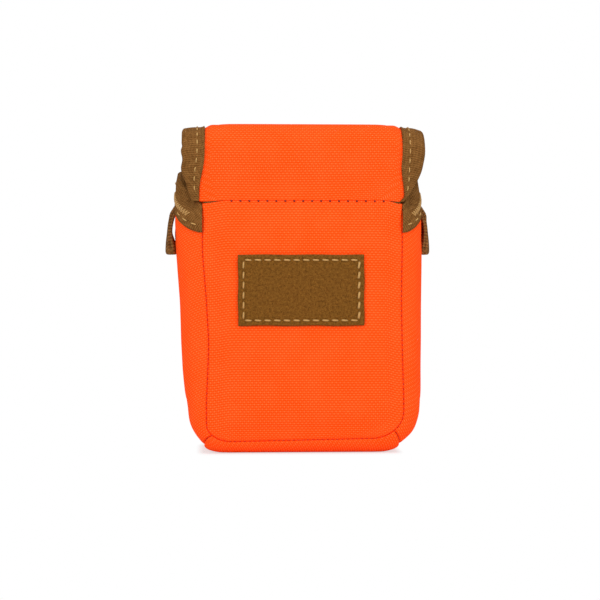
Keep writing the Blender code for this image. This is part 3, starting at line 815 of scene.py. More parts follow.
@dataclass(frozen=True)
class BodyForm:
    """Sizes of the sewn body and the formulas of its surfaces."""

    half_depth: float = 0.0220
    half_width_base: float = 0.0472
    half_width_hinge: float = 0.0503
    seam_half_base: float = 0.0400
    seam_half_hinge: float = 0.0407
    corner_radius: float = 0.0180
    side_seam_inset: float = 0.0090
    base_seam_inset: float = 0.0060
    base_seams: tuple[float, float] = (0.0050, 0.0061)
    seam_wide: tuple[float, float] = (0.0100, 0.0130)
    seam_tall: tuple[float, float] = (0.0070, 0.0110)
    left_side: Slump = Slump(
        (2, 5, 12, 17, 22, 34, 46, 62, 80, 90, 96, 101, 106, 112),
        (-0.6, -1.6, -1.7, -2.0, -1.4, -0.5, -0.1, -0.2, 0.4, 0.9, 1.1, 0.0, -1.0, -1.2),
    )
    right_side: Slump = Slump(
        (2, 5, 7, 9, 12, 17, 22, 34, 46, 62, 80, 96, 103, 108),
        (0.6, 0.3, 1.4, 1.5, 1.2, 1.5, 1.6, 1.2, 1.1, 0.6, 0.1, -0.2, -1.8, -2.6),
    )
    left_seam: Slump = Slump((6, 20, 33, 46, 63, 82, 103), (-1.7, -1.7, -2.4, -2.9, -2.0, -0.6, -0.6))
    right_seam: Slump = Slump((6, 20, 46, 63, 82, 103), (1.9, 1.9, 1.0, 0.6, 0.75, 0.75))
    turn_depth: float = 0.0080
    front_crown: float = 0.0024
    hinge_height: float = 0.1027
    mouth_front: float = 0.1000
    mouth_back: float = 0.1170
    mouth_rise: float = 0.0120
    mouth_curve: float = 7.0
    hem_front: float = 0.0900
    hem_back: float = 0.1080
    hem_reach: float = 0.42
    lean_start: float = 0.0950
    back_lean: float = 0.0035
    roll_width: float = 0.0013
    roll_depth: float = 0.0007
    pucker: float = 0.00014
    pucker_reach: float = 0.0030
    pucker_pitch: float = 0.0037

    @property
    def turn_arc(self) -> float:
        """Length of the gusset's rounded turn, about a quarter ellipse."""
        return math.pi / 4 * (self.turn_depth + self.side_seam_inset)

    @property
    def gusset_width(self) -> float:
        """The gusset's unrolled width: two turns and the flat between them."""
        return 2 * self.turn_arc + 2 * (self.half_depth - self.turn_depth)

    def half_width(self, height: Array) -> Array:
        """Outside half width, which grows evenly from the base to the hinge."""
        growth = (self.half_width_hinge - self.half_width_base) / self.hinge_height
        return self.half_width_base + growth * height

    def seam_half(self, side: Array, height: Array) -> Array:
        """Distance of a side seam from the middle: it grows evenly upwards, and has slumped with its side.

        Args:
            side: Below 0 for the left seam.
            height: Place up.

        Returns:
            Distances.
        """
        even = self.seam_half_base + (self.seam_half_hinge - self.seam_half_base) * height / self.hinge_height
        return even + np.where(side < 0, self.left_seam.at(height), self.right_seam.at(height))

    def base_seam(self, side: Array, share: Array) -> Array:
        """Height of the front or back seam along the base, which climbs evenly from left to right.

        Args:
            side: Below 0 for the left half.
            share: 0 in the middle to 1 at the corner.

        Returns:
            Heights.
        """
        left, right = self.base_seams
        middle = (left + right) / 2
        return middle + (np.where(side < 0, left, right) - middle) * share

    def back_face(self, height: Array) -> Array:
        """Y of the back's outside, which leans forward as a parabola near the mouth."""
        climb = np.maximum(0.0, (height - self.lean_start) / (self.mouth_back - self.lean_start))
        return self.half_depth - self.back_lean * climb**2

    def front_face(self, x: Array, height: Array, depth: Array) -> Array:
        """Y of a front layer: a parabola across times a quartic up, so flat along the seams and hinge.

        Args:
            x: Place across.
            height: Place up.
            depth: Distance inwards from the outside.

        Returns:
            Y of each point.
        """
        reach = x / self.seam_half(np.sign(x), height)
        climb = (height - self.base_seam_inset) / (self.hinge_height - self.base_seam_inset)
        crown = self.front_crown * (1 - reach**2) * (1 - (2 * climb - 1) ** 4)
        return depth - self.half_depth - crown

    def mouth_height(self, cross: Array) -> Array:
        """Height of the gusset's cut edge: a power curve, steep at the front, and a slow parabola behind.

        Args:
            cross: 0 at the front seam to 1 at the back seam.

        Returns:
            Heights.
        """
        steep = self.mouth_rise * (1 - (1 - cross) ** self.mouth_curve)
        slow = (self.mouth_back - self.mouth_front - self.mouth_rise) * cross**2
        return self.mouth_front + steep + slow

    def mouth_hem(self, cross: Array) -> Array:
        """Height of the mouth tape's lower edge, which climbs as a smooth step from the front seam."""
        return self.hem_front + (self.hem_back - self.hem_front) * eased(cross / self.hem_reach)

    def outline(self, side: Array, path: Array, depth: Array) -> tuple[Array, Array, Array, Array]:
        """Half of the body seen from the front: up the side, round the corner, along the base.

        Below 0 the path is metres up the straight side above the corner, 0 to 1 is the corner, a
        quarter ellipse for the seam and a quarter circle outside it, and 1 to 2 the base to its middle.
        The seam's corner is lower than the outer one, and a smooth step up the side makes up for it.

        Args:
            side: Below 0 for the left half.
            path: Place along the outline.
            depth: Distance of the outer line inwards from the outside.

        Returns:
            Seam x, seam z, outer x and outer z.
        """
        radius = self.corner_radius
        left = side < 0
        wide, tall = np.where(left, *self.seam_wide), np.where(left, *self.seam_tall)
        turn = np.clip(path, 0.0, 1.0) * math.pi / 2
        along = np.clip(2 - path, 0.0, 1.0)
        height = radius - np.minimum(path, 0.0)
        outer_x = (self.half_width(height) - radius) * along + (radius - depth) * np.cos(turn)
        outer_z = height - (radius - depth) * np.sin(turn)
        moved = np.where(left, self.left_side.at(outer_z), self.right_side.at(outer_z))
        base = self.base_seam(side, along)
        seam_z = base + tall * (1 - np.sin(turn)) + height - radius
        seam_z = seam_z + (radius - base - tall) * eased(-path / 0.04)
        seam_x = (self.seam_half(side, seam_z) - wide) * along + wide * np.cos(turn)
        return seam_x, seam_z, outer_x + moved * along, outer_z

    def gusset(self, side: Array, cross: Array, path: Array, depth: Array) -> Array:
        """Points of a gusset layer: a quarter turn at the front seam, a flat side, a quarter turn behind.

        Args:
            side: -1 for the left half and 1 for the right.
            cross: 0 at the front seam to 1 at the back seam.
            path: Place along the outline.
            depth: Distance inwards from the outside.

        Returns:
            Points on the last axis.
        """
        seam_x, seam_z, outer_x, outer_z = self.outline(side, path, depth)
        share = self.turn_arc / self.gusset_width
        front_turn = np.clip(1 - cross / share, 0.0, 1.0) * math.pi / 2
        back_turn = np.clip(1 - (1 - cross) / share, 0.0, 1.0) * math.pi / 2
        flat = np.clip((cross - share) / (1 - 2 * share), 0.0, 1.0)
        front = self.turn_depth - self.half_depth
        back = self.back_face(seam_z) - self.turn_depth
        swell = self.turn_depth - depth
        y = front + (back - front) * flat + swell * (np.sin(back_turn) - np.sin(front_turn))
        out = np.cos(np.maximum(front_turn, back_turn))
        return stacked(side * (seam_x + (outer_x - seam_x) * out), y, seam_z + (outer_z - seam_z) * out)

    def seam_distance(self, x: Array, height: Array) -> Array:
        """Distance inside the front or back seam, to first order of a rounded outline's ellipse.

        Args:
            x: Place across.
            height: Place up.

        Returns:
            Distances, large in the middle of the panel.
        """
        side = np.sign(x)
        wide, tall = np.where(side < 0, *self.seam_wide), np.where(side < 0, *self.seam_tall)
        corner_x = self.seam_half(side, height) - wide
        base = self.base_seam(side, np.clip(np.abs(x) / corner_x, 0.0, 1.0))
        past_x = np.maximum(np.abs(x) - corner_x, 0.0)
        past_z = np.maximum(base + tall - height, 0.0)
        ratio = np.hypot(past_x / wide, past_z / tall)
        slope = np.hypot(past_x / wide**2, past_z / tall**2)
        return np.where(ratio > 1e-6, (1 - ratio) * ratio / np.maximum(slope, 1e-9), wide)

    def rolled(self, distance: Array, along: Array) -> Array:
        """How far cloth turns in towards a seam: a quarter circle near it, and puckers at the stitches.

        Args:
            distance: Distance from the seam.
            along: Place along the seam.

        Returns:
            Depth to add.
        """
        near = np.clip(1 - distance / self.roll_width, 0.0, 1.0)
        turn = self.roll_depth * (1 - np.sqrt(1 - near**2))
        waves = 0.5 + 0.5 * np.cos(2 * math.pi * along / self.pucker_pitch)
        return turn + self.pucker * waves * np.exp(-((distance / self.pucker_reach) ** 2))


@dataclass(frozen=True)
class Layers:
    """Thickness of each layer, and the depth at which the hidden ones lie."""

    gap: float = 0.0003
    shell: float = 0.0010
    lining: float = 0.0006
    tape: float = 0.0007
    webbing: float = 0.0013
    foam_depth: float = 0.0013
    lining_depth: float = 0.0046
    pocket_depth: float = 0.0032
    lid_lining_depth: float = 0.0041
    rim_flat: float = 0.0100
    rim_ease: float = 0.0180

    @property
    def on_shell(self) -> float:
        """Depth of the middle of a tape that lies on the shell, which is negative."""
        return -(self.gap + self.tape / 2)


@dataclass(frozen=True)
class TapeFold:
    """Binding tape folded over a cut edge: a straight outer leg, a round fold and a straight inner leg."""

    width: float = 0.0090
    inner_leg: float = 0.0082
    rise: float = 0.0010
    stitch_inset: float = 0.0062
    outer_rows: int = 11

    def across(self, outer: float, inner: float) -> tuple[Array, Array]:
        """Inset from the cut edge and depth, from the outer leg's edge to the inner leg's.

        The fold is half an ellipse that rises past the edge by the fold's rise.

        Args:
            outer: Depth of the outer leg.
            inner: Depth of the inner leg.

        Returns:
            Insets and depths, one number for each point across.
        """
        turn = np.linspace(0.0, math.pi, 11)
        outer_leg = np.linspace(self.width, 0.0, self.outer_rows + 1)[:-1]
        inner_leg = np.linspace(0.0, self.inner_leg, 9)[1:]
        inset = np.concatenate((outer_leg, -self.rise * np.sin(turn), inner_leg))
        bend = (outer + inner) / 2 - (inner - outer) / 2 * np.cos(turn)
        depth = np.concatenate((np.full(self.outer_rows, outer), bend, np.full(8, inner)))
        return inset, depth


def settle(
    piece: bpy.types.Object,
    points: Array,
    outward: tuple[float, float, float],
    loose: Array,
    push: Vector,
    cap: float,
    frames: int = 20,
) -> None:
    """Let cloth swell between its seams in a Cloth simulation, and keep the result in its mesh.

    The seams are pinned, a steady push stands for the foam behind the cloth, and no point may
    move further than the cap.

    Args:
        piece: The cloth, before its thickness shows.
        points: The grid that it was made from.
        outward: Direction that its outside faces.
        loose: For each point of the grid, 0 where it is sewn down to 1 where it is free.
        push: Acceleration that the foam gives the cloth.
        cap: Furthest that a point may move.
        frames: How many steps to run.
    """
    if not np.array_equal(facing_out(points, outward)[0, 0], points[0, 0]):
        loose = loose[:, ::-1]
    loose = loose.ravel()
    scene = bpy.context.scene
    group = piece.vertex_groups.new(name="Sewn")
    group.add(np.flatnonzero(loose < 0.5).tolist(), 1.0, "REPLACE")
    thickness = piece.modifiers["Thickness"]
    thickness.show_viewport = False
    cloth = piece.modifiers.new("Cloth", "CLOTH")
    cloth.settings.quality = 6
    cloth.settings.vertex_group_mass = group.name
    cloth.settings.tension_stiffness = 25.0
    cloth.settings.compression_stiffness = 25.0
    cloth.settings.shear_stiffness = 12.0
    cloth.settings.bending_stiffness = 0.8
    cloth.collision_settings.use_collision = False
    cloth.point_cache.frame_end = frames
    gravity = scene.gravity.copy()
    scene.gravity = push
    for number in range(1, frames + 1):
        scene.frame_set(number)
    swollen = piece.evaluated_get(bpy.context.evaluated_depsgraph_get()).data
    count = len(piece.data.vertices)
    rest, moved = np.empty(count * 3, np.float32), np.empty(count * 3, np.float32)
    piece.data.vertices.foreach_get("co", rest)
    swollen.vertices.foreach_get("co", moved)
    step = (moved - rest).reshape(-1, 3) * eased(loose)[:, None]
    length = np.linalg.norm(step, axis=1, keepdims=True)
    step *= np.tanh(length / cap) * cap / np.maximum(length, 1e-9)
    piece.modifiers.remove(cloth)
    piece.vertex_groups.remove(group)
    scene.frame_set(1)
    scene.gravity = gravity
    piece.data.vertices.foreach_set("co", (rest.reshape(-1, 3) + step).astype(np.float32).ravel())
    piece.data.update()
    thickness.show_viewport = True
    log.info("%s swelled by up to %.2f mm", piece.name, np.linalg.norm(step, axis=1).max() * MM)


@dataclass
class SewnBody:
    """The body: padded shells, linings, mouth tapes, seams and their stitching."""

    finishes: Finishes
    form: BodyForm = field(default_factory=BodyForm)
    layers: Layers = field(default_factory=Layers)
    fold: TapeFold = field(default_factory=lambda: TapeFold(inner_leg=0.0060))
    body: str = "pouch"
    corner_splits: tuple[float, float] = (0.63, 0.63)
    split_skews: tuple[float, float] = (0.20, 0.13)
    split_half_gap: float = 0.005
    hinge_droop: float = 0.0009
    hinge_lift: float = 0.0003
    hinge_gap: float = 0.0008
    hinge_roll: float = 0.00015
    seam_gap: float = 0.00005
    tuck: float = 0.0055
    tuck_start: float = 0.0950
    tuck_rise: float = 0.0090
    seam_pitch: float = 0.0038
    close_pitch: float = 0.0020
    tape_thread: float = 0.00027
    lining_inset: float = 0.0008
    lining_drop: float = 0.0012

    def hinge_line(self, x: Array) -> tuple[Array, Array]:
        """How far the hinge seam lies below the hinge, and how far it gapes: smooth steps towards both ends.

        Args:
            x: Place across.

        Returns:
            Droop and half gap.
        """
        left = eased((-x - 0.0290) / 0.0110)
        right = eased((x - 0.0345) / 0.0060)
        ends = np.maximum(left, right)
        return self.hinge_droop * ends - self.hinge_lift, self.hinge_gap * ends / 2

    def gusset(self, side: Array, cross: Array, path: Array, depth: Array) -> Array:
        """Points of a gusset layer, pushed back under the lid's corners.

        The push is a smooth step of height times smooth steps of the place from the front seam to the back.

        Args:
            side: -1 for the left half and 1 for the right.
            cross: 0 at the front seam to 1 at the back seam.
            path: Place along the outline.
            depth: Distance inwards from the outside.

        Returns:
            Points on the last axis.
        """
        points = self.form.gusset(side, cross, path, depth)
        rise = eased((points[..., 2] - self.tuck_start) / self.tuck_rise)
        back = (0.3 + 0.7 * eased(cross / 0.07)) * (1 - eased((cross - 0.06) / 0.34))
        return points + stacked(0.0, self.tuck * rise * back, 0.0)

    def cut_height(self, cross: Array) -> Array:
        """Height at which the gusset's cloth ends, well up inside the folded mouth tape."""
        return 0.4 * self.form.mouth_height(cross) + 0.6 * self.form.mouth_hem(cross)

    def split_path(self, side: Array, cross: Array) -> Array:
        """Place of a corner seam on the outline, which turns up towards the front and back seams.

        Args:
            side: Below 0 for the left corner.
            cross: 0 at the front seam to 1 at the back seam.

        Returns:
            Places on the path.
        """
        share = self.form.turn_arc / self.form.gusset_width
        near = np.clip(1 - np.minimum(cross, 1 - cross) / share, 0.0, 1.0)
        return np.where(side < 0, *self.corner_splits) - np.where(side < 0, *self.split_skews) * near

    def panel_grid(self, top: Array, inset: float, sides: Array) -> tuple[Array, Array]:
        """X and height of a panel within its seams: round the corners by path, then straight up.

        Args:
            top: Height of the panel's top edge at each place across.
            inset: Distance kept from the seams.
            sides: Place across as a share, -1 to 1.

        Returns:
            X and heights, rows by columns, from the base up.
        """
        form = self.form
        corner = np.linspace(1.0, 0.0, 19)[:-1, None] + 0 * sides
        climb = np.linspace(0.0, 1.0, 81)[:, None]
        climb = 0.5 * climb + 0.5 * np.sin(climb * math.pi / 2)
        straight = -climb * (top - form.corner_radius - inset)
        path = np.concatenate((corner, straight))
        left_x, left_z, _, _ = form.outline(np.full(1, -1.0), path, np.zeros(1))
        right_x, right_z, _, _ = form.outline(np.ones(1), path, np.zeros(1))
        share = (sides + 1) / 2
        x = sides * (np.where(sides < 0, left_x, right_x) - inset)
        return x, left_z * (1 - share) + right_z * share + inset

    def front_shell(self) -> bpy.types.Object:
        """The padded front panel, crowned, rolled in along its seams and butted to the lid at the hinge.

        Returns:
            The piece.
        """
        form = self.form
        sides = crowded(112)[None, :]
        across = sides * form.seam_half(sides, form.hinge_height)
        droop, half_gap = self.hinge_line(across)
        top = form.hinge_height - droop - half_gap
        x, height = self.panel_grid(top, self.seam_gap, sides)
        distance = form.seam_distance(x, height) - self.seam_gap
        depth = form.rolled(distance, np.abs(x) - height)
        below = np.clip(1 - (top - height) / (2 * self.hinge_roll), 0.0, 1.0)
        depth = depth + self.hinge_roll * (1 - np.sqrt(1 - below**2))
        points = stacked(x, form.front_face(x, height, depth), height)
        piece = cloth_piece(
            "front_shell", points, self.layers.shell, self.finishes.shell, (0, -1, 0), Lie.INWARDS
        )
        under_patch = (np.abs(x) < 0.0262) & (np.abs(height - 0.0666) < 0.0150)
        loose = np.clip((np.minimum(distance, top - height) - 0.002) / 0.006, 0.0, 1.0)
        loose = np.where(under_patch, 0.0, loose)
        settle(piece, points, (0, -1, 0), loose, Vector((0, -60.0, -6.0)), 0.0007)
        return dress(piece, self.body, ("front_panel", "front_foam"))

    def back_shell(self) -> bpy.types.Object:
        """The padded back panel, flat where the webbing is sewn on and leaning in at the mouth.

        Returns:
            The piece.
        """
        form = self.form
        sides = crowded(96)[None, :]
        x, height = self.panel_grid(np.full_like(sides, form.mouth_back), self.seam_gap, sides)
        distance = form.seam_distance(x, height) - self.seam_gap
        depth = form.rolled(distance, np.abs(x) - height)
        points = stacked(x, form.back_face(height) - depth, height)
        piece = cloth_piece(
            "back_shell", points, self.layers.shell, self.finishes.shell, (0, 1, 0), Lie.INWARDS
        )
        return dress(piece, self.body, ("back_panel", "back_foam"))

    def gusset_depth(self, cross: Array, path: Array, split: Array) -> Array:
        """Depth of a gusset's outside: rolled in at the front, back and corner seams.

        Args:
            cross: 0 at the front seam to 1 at the back seam.
            path: Place along the outline.
            split: Distance from the corner seam.

        Returns:
            Depths.
        """
        form = self.form
        edge = np.minimum(cross, 1 - cross) * form.gusset_width
        depth = form.rolled(edge, path * 0.02)
        near = np.clip(1 - split / 0.0012, 0.0, 1.0)
        return np.maximum(depth, 0.0009 * (1 - np.sqrt(1 - near**2)))

    def side_shell(self, side: Side) -> bpy.types.Object:
        """A padded side gusset, from the mouth's cut edge round to the corner seam.

        Args:
            side: Which side.

        Returns:
            The piece.
        """
        form = self.form
        cross = (crowded(84)[None, :] + 1) / 2
        rise = self.cut_height(cross) - form.corner_radius
        straight = -np.linspace(1.0, 0.0, 71)[:, None] * rise
        end = self.split_path(side.value, cross) - self.split_half_gap
        corner = end * np.sin(np.linspace(0.0, math.pi / 2, 22))[1:, None]
        path = np.concatenate((straight, corner))
        corner_arc = form.corner_radius * math.pi / 2
        split = np.where(path > 0, (end - path) * corner_arc, 1.0)
        depth = self.gusset_depth(cross, path, split)
        height = form.corner_radius - path
        slack = np.where(path < 0, np.sin(height * 95.0) * np.sin(math.pi * cross) ** 2, 0.0)
        depth = depth - 0.00025 * slack * np.clip(-path / 0.02, 0.0, 1.0)
        points = self.gusset(side.value, cross, path, depth)
        name = f"{side.word}_side_shell"
        piece = cloth_piece(
            name, points, self.layers.shell, self.finishes.shell, (side.value, 0, 0), Lie.INWARDS
        )
        seam = np.minimum(cross, 1 - cross) * form.gusset_width
        clear = np.minimum(np.minimum(seam - 0.003, self.cut_height(cross) - height - 0.014), -path)
        loose = np.clip(clear / 0.008, 0.0, 1.0)
        settle(piece, points, (side.value, 0, 0), loose, Vector((40.0 * side.value, 0, -8.0)), 0.0004)
        return dress(piece, self.body, (f"{side.word}_gusset", f"{side.word}_gusset_foam"))

    def bottom_shell(self) -> bpy.types.Object:
        """The padded bottom gusset, sewn to both sides just round the corners and a little proud of them.

        Returns:
            The piece.
        """
        form = self.form
        cross = (crowded(84)[None, :] + 1) / 2
        along = crowded(120, 0.5)[:, None]
        end = self.split_path(along, cross) + self.split_half_gap
        reach = np.abs(along)
        path = np.where(reach < 0.8, 2 - reach / 0.8, 1 + (end - 1) * (reach - 0.8) / 0.2)
        corner_arc = form.corner_radius * math.pi / 2
        split = np.where(path < 1, (path - end) * corner_arc, 1.0)
        depth = self.gusset_depth(cross, path, split)
        proud = 0.0008 * np.clip((0.95 - path) / 0.25, 0.0, 1.0)
        points = self.gusset(np.sign(along), cross, path, depth - proud)
        piece = cloth_piece(
            "bottom_shell", points, self.layers.shell, self.finishes.shell, (0, 0, -1), Lie.INWARDS
        )
        return dress(piece, self.body, ("bottom_gusset", "bottom_foam"))

    def panel_linings(self) -> None:
        """The front and back lining cloths, the back one drawn forward over the magnets near the mouth."""
        form, layers = self.form, self.layers
        sides = np.linspace(-1.0, 1.0, 61)[None, :]
        middle = layers.lining_depth + layers.lining / 2
        tops = np.full_like(sides, form.hinge_height - layers.gap - self.lining_drop)
        x, height = self.panel_grid(tops, self.lining_inset, sides)
        points = stacked(x, form.front_face(x, height, middle), height)
        piece = cloth_piece("front_lining_cloth", points, layers.lining, self.finishes.lining, (0, 1, 0))
        dress(piece, self.body, ("front_lining",))

        x, height = self.panel_grid(np.full_like(sides, form.mouth_back), self.lining_inset, sides)
        ease = eased((form.mouth_back - height - layers.rim_flat) / (layers.rim_ease - layers.rim_flat))
        depth = layers.pocket_depth + (layers.lining_depth - layers.pocket_depth) * ease + layers.lining / 2
        points = stacked(x, form.back_face(height) - depth, height)
        piece = cloth_piece("back_lining_cloth", points, layers.lining, self.finishes.lining, (0, -1, 0))
        dress(piece, self.body, ("back_lining",))

    def gusset_lining(self) -> bpy.types.Object:
        """One band of lining round the whole gusset, drawn in to the shell under the mouth tape.

        Returns:
            The piece.
        """
        form, layers = self.form, self.layers
        cross = np.linspace(0.0, 1.0, 57)[None, :]
        along = np.linspace(-1.0, 1.0, 161)[:, None]
        top = self.cut_height(cross) - form.corner_radius
        reach = np.abs(along)
        base = np.interp(reach, (0.0, 0.25, 0.375), (2.0, 1.0, 0.0))
        path = np.where(reach < 0.375, base, -top * (reach - 0.375) / 0.625)
        below = np.where(path < 0, top + path, top)
        ease = np.clip((below - layers.rim_flat / 2) / layers.rim_flat, 0.0, 1.0)
        depth = layers.foam_depth + (layers.lining_depth - layers.foam_depth) * ease + layers.lining / 2
        points = self.gusset(np.sign(along), cross, path, depth)
        piece = cloth_piece("gusset_lining_cloth", points, layers.lining, self.finishes.lining, (0, 0, 1))
        return dress(piece, self.body, ("gusset_lining",))

    def mouth_tape(self, side: Side) -> bpy.types.Object:
        """Tape folded over a gusset's cut edge, from the front seam to the back seam, with its stitching.

        The outer leg reaches down to the hem and swells a little as a half sine between hem and fold.

        Args:
            side: Which side.

        Returns:
            The tape.
        """
        form, layers = self.form, self.layers
        inner = layers.foam_depth + layers.lining + layers.gap + layers.tape / 2
        inset, depth = self.fold.across(layers.on_shell, inner)
        cross = np.linspace(0.0, 1.0, 121)[None, :]
        width = form.mouth_height(cross) - form.mouth_hem(cross)
        outer = np.arange(inset.size)[:, None] < self.fold.outer_rows
        drop = inset[:, None] * np.where(outer, width / self.fold.width, 1.0)
        swell = np.where(outer, 0.0005 * np.sin(math.pi * inset[:, None] / self.fold.width), 0.0)
        path = form.corner_radius - form.mouth_height(cross) + drop
        points = self.gusset(side.value, cross, path, depth[:, None] - swell)
        name = f"{side.word}_mouth_tape"
        tape = cloth_piece(name, points, layers.tape, self.finishes.tape, (side.value, 0, 0))
        dress(tape, self.body, (f"{side.word}_mouth_binding",))

        def line(share: Array, inwards: float) -> Array:
            """Points of the stitching, a fixed height above the hem, which leaves out the loop's bartack."""
            up = form.mouth_hem(share) + self.fold.width - self.fold.stitch_inset
            return self.gusset(side.value, share, form.corner_radius - up, np.full_like(share, inwards))

        face = -(layers.gap + layers.tape + 0.0004)
        front = StitchRow.along(line, face, self.seam_pitch, 0.72, (0.02, 0.16))
        row = front.joined(StitchRow.along(line, face, self.seam_pitch, 0.72, (0.42, 0.985)))
        stitches = row.piece(f"{name}_stitches", self.tape_thread, self.finishes.thread)
        dress(stitches, self.body)
        return tape

    def seam_allowances(self) -> None:
        """The turned-in edges behind the front and back seams, one strip each round the whole seam."""
        form = self.form
        along = np.linspace(-1.0, 1.0, 241)[None, :]
        reach = np.abs(along)
        depth = np.linspace(0.0008, 0.0038, 5)[:, None]
        tops = (form.hinge_height - 0.0040, form.mouth_back - 0.0010)
        for name, cross, top in zip(("front", "back"), (0.0, 1.0), tops):
            base = np.interp(reach, (0.0, 0.25, 0.375), (2.0, 1.0, 0.0))
            path = np.where(reach < 0.375, base, (form.corner_radius - top) * (reach - 0.375) / 0.625)
            points = form.gusset(np.sign(along), np.full_like(path, cross), path, depth)
            strip = cloth_piece(f"{name}_seam_allowance", points, 0.0012, self.finishes.shell, (0, 0, 1))
            dress(strip, self.body)

    def back_rim_tape(self) -> bpy.types.Object:
        """Tape folded over the back panel's top edge, with its stitching.

        Returns:
            The tape.
        """
        form, layers = self.form, self.layers
        inner = layers.pocket_depth + layers.lining + layers.gap + layers.tape / 2
        inset, depth = self.fold.across(layers.on_shell, inner)
        sides = np.linspace(-1.0, 1.0, 81)[None, :]

        def place(share: Array, height: Array, inwards: Array) -> Array:
            """Points of the rim: share across, leaning with the back."""
            x = share * (form.seam_half(share, height) - layers.gap)
            return stacked(x, form.back_face(height) - inwards, height)

        points = place(sides, form.mouth_back - inset[:, None], depth[:, None])
        tape = cloth_piece("back_rim_tape", points, layers.tape, self.finishes.tape, (0, 1, 0))
        dress(tape, self.body, ("back_rim_binding",))
        height = form.mouth_back - self.fold.stitch_inset
        row = StitchRow.along(
            lambda share, inwards: place(2 * share - 1, np.full_like(share, height), inwards),
            -(layers.gap + layers.tape),
            self.seam_pitch,
            0.72,
            (0.01, 0.99),
        )
        dress(row.piece("back_rim_stitches", self.tape_thread, self.finishes.thread), self.body)
        return tape

    def hinge_strip(self) -> bpy.types.Object:
        """The hinge tape: up the front lining, over the wall's top, across the seam and up the lid's lining.

        It is one band from the body to the lid.

        Returns:
            The piece.
        """
        form, layers = self.form, self.layers
        inner = layers.lining_depth + layers.lining + layers.gap + layers.lining / 2
        on_lid = layers.lid_lining_depth + layers.lining + layers.gap + layers.lining / 2
        near = layers.shell * 0.8
        top = form.hinge_height
        legs = (
            (inner, top - 0.0103),
            (inner, top - 0.0018),
            (inner - 0.0006, top - 0.0010),
            (near + 0.0006, top - 0.0010),
            (near, top - 0.0006),
            (near, top + 0.0010),
            (near + 0.0006, top + 0.0014),
            (on_lid - 0.0006, top + 0.0014),
            (on_lid, top + 0.0022),
            (on_lid, top + 0.0088),
        )
        stops = np.linspace(0.0, 1.0, len(legs))
        fine = np.linspace(0.0, 1.0, 73)
        depth, height = (np.interp(fine, stops, values)[:, None] for values in zip(*legs))
        sides = np.linspace(-1.0, 1.0, 61)[None, :]
        x = sides * (form.seam_half(sides, form.hinge_height) - 2 * layers.gap)
        y = form.front_face(x, np.minimum(height, top), depth)
        droop, _ = self.hinge_line(x)
        points = stacked(x, y, height - droop)
        piece = cloth_piece("hinge_strip", points, layers.lining, self.finishes.tape, (0, 1, 0))
        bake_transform(piece)
        return dress(piece, "", ("hinge_tape",))

    def hinge_stitches(self) -> bpy.types.Object:
        """Short sunk stitches along the hinge seam, coloured dark red as painted shade of the sunk seam, with
        painted shade at their needle holes.

        Returns:
            The piece.
        """
        form = self.form

        def line(share: Array, depth: float) -> Array:
            """Points along the seam, from left to right."""
            x = -0.0300 + 0.0655 * share
            droop, _ = self.hinge_line(x)
            return stacked(x, depth - form.half_depth, form.hinge_height - 0.0003 - droop)

        row = StitchRow.along(line, 0.0001, 0.00372, 0.32, slant=-0.25)
        piece = row.piece("hinge_stitches", 0.00046, self.finishes.dark_thread, 0.4)
        return dress(piece, self.body)

    def seam_stitches(self) -> None:
        """Thread in the valley of the front, back and corner seams, one piece for each kind of seam."""
        form = self.form
        end = form.corner_radius - form.hinge_height + 0.0115

        def seam(side: float, cross: float) -> Surface:
            """The line along one half of the front or back seam, from near the top to the base's middle."""

            def line(share: Array, depth: float) -> Array:
                """Points down the side, round the corner and along the base."""
                path = np.interp(share, (0.0, 0.62, 0.74, 1.0), (end, 0.0, 1.0, 2.0))
                return form.gusset(side, np.full_like(share, cross), path, np.full_like(share, depth))

            return line

        for name, cross in (("front", 0.0), ("back", 1.0)):
            halves = [
                StitchRow.along(seam(side.value, cross), form.roll_depth * 0.7, self.close_pitch, 0.5)
                for side in Side
            ]
            row = halves[0].joined(halves[1])
            piece = row.piece(f"{name}_seam_stitches", 0.00027, self.finishes.seam_thread, 0.3)
            dress(piece, self.body)

        def corner(side: float) -> Surface:
            """The line across one corner seam, from the front seam to the back seam."""

            def line(share: Array, depth: float) -> Array:
                """Points from front to back on the corner seam."""
                path = self.split_path(side, share)
                return self.gusset(side, share, path, np.full_like(share, depth))

            return line

        rows = [
            StitchRow.along(corner(side.value), 0.0005, self.close_pitch, 0.5, (0.02, 0.98)) for side in Side
        ]
        piece = rows[0].joined(rows[1]).piece("corner_seam_stitches", 0.00026, self.finishes.seam_thread, 0.2)
        dress(piece, self.body)

    def bartack(self, side: Side) -> bpy.types.Object:
        """Dense zigzag stitching on the mouth tape, over the tether loop's sewn end.

        Args:
            side: Which side.

        Returns:
            The piece.
        """
        form, layers = self.form, self.layers
        count = 26
        place = np.linspace(0.0, 1.0, count + 1)
        swing = np.where(np.arange(count + 1) % 2 == 0, 0.0014, -0.0014)
        first, last = np.array((0.075, 0.0974)), np.array((0.270, 0.1062))
        lean = unit((last - first) * (form.gusset_width, 1.0))
        cross = first[0] + (last[0] - first[0]) * place - lean[1] * swing / form.gusset_width
        height = first[1] + (last[1] - first[1]) * place + lean[0] * swing

        def points(depth: float) -> Array:
            """Corners of the zigzag at a depth."""
            return self.gusset(side.value, cross, form.corner_radius - height, np.full_like(cross, depth))

        face = -(layers.gap + layers.tape + 0.0005)
        line = points(face)
        normals = unit(points(face - 0.0005) - points(face + 0.0005))
        row = StitchRow(line[:-1], line[1:], normals[:-1])
        piece = row.piece(f"{side.word}_bartack_stitches", 0.00027, self.finishes.bartack_thread, 0.9)
        return dress(piece, self.body, (f"{side.word}_bartack",))

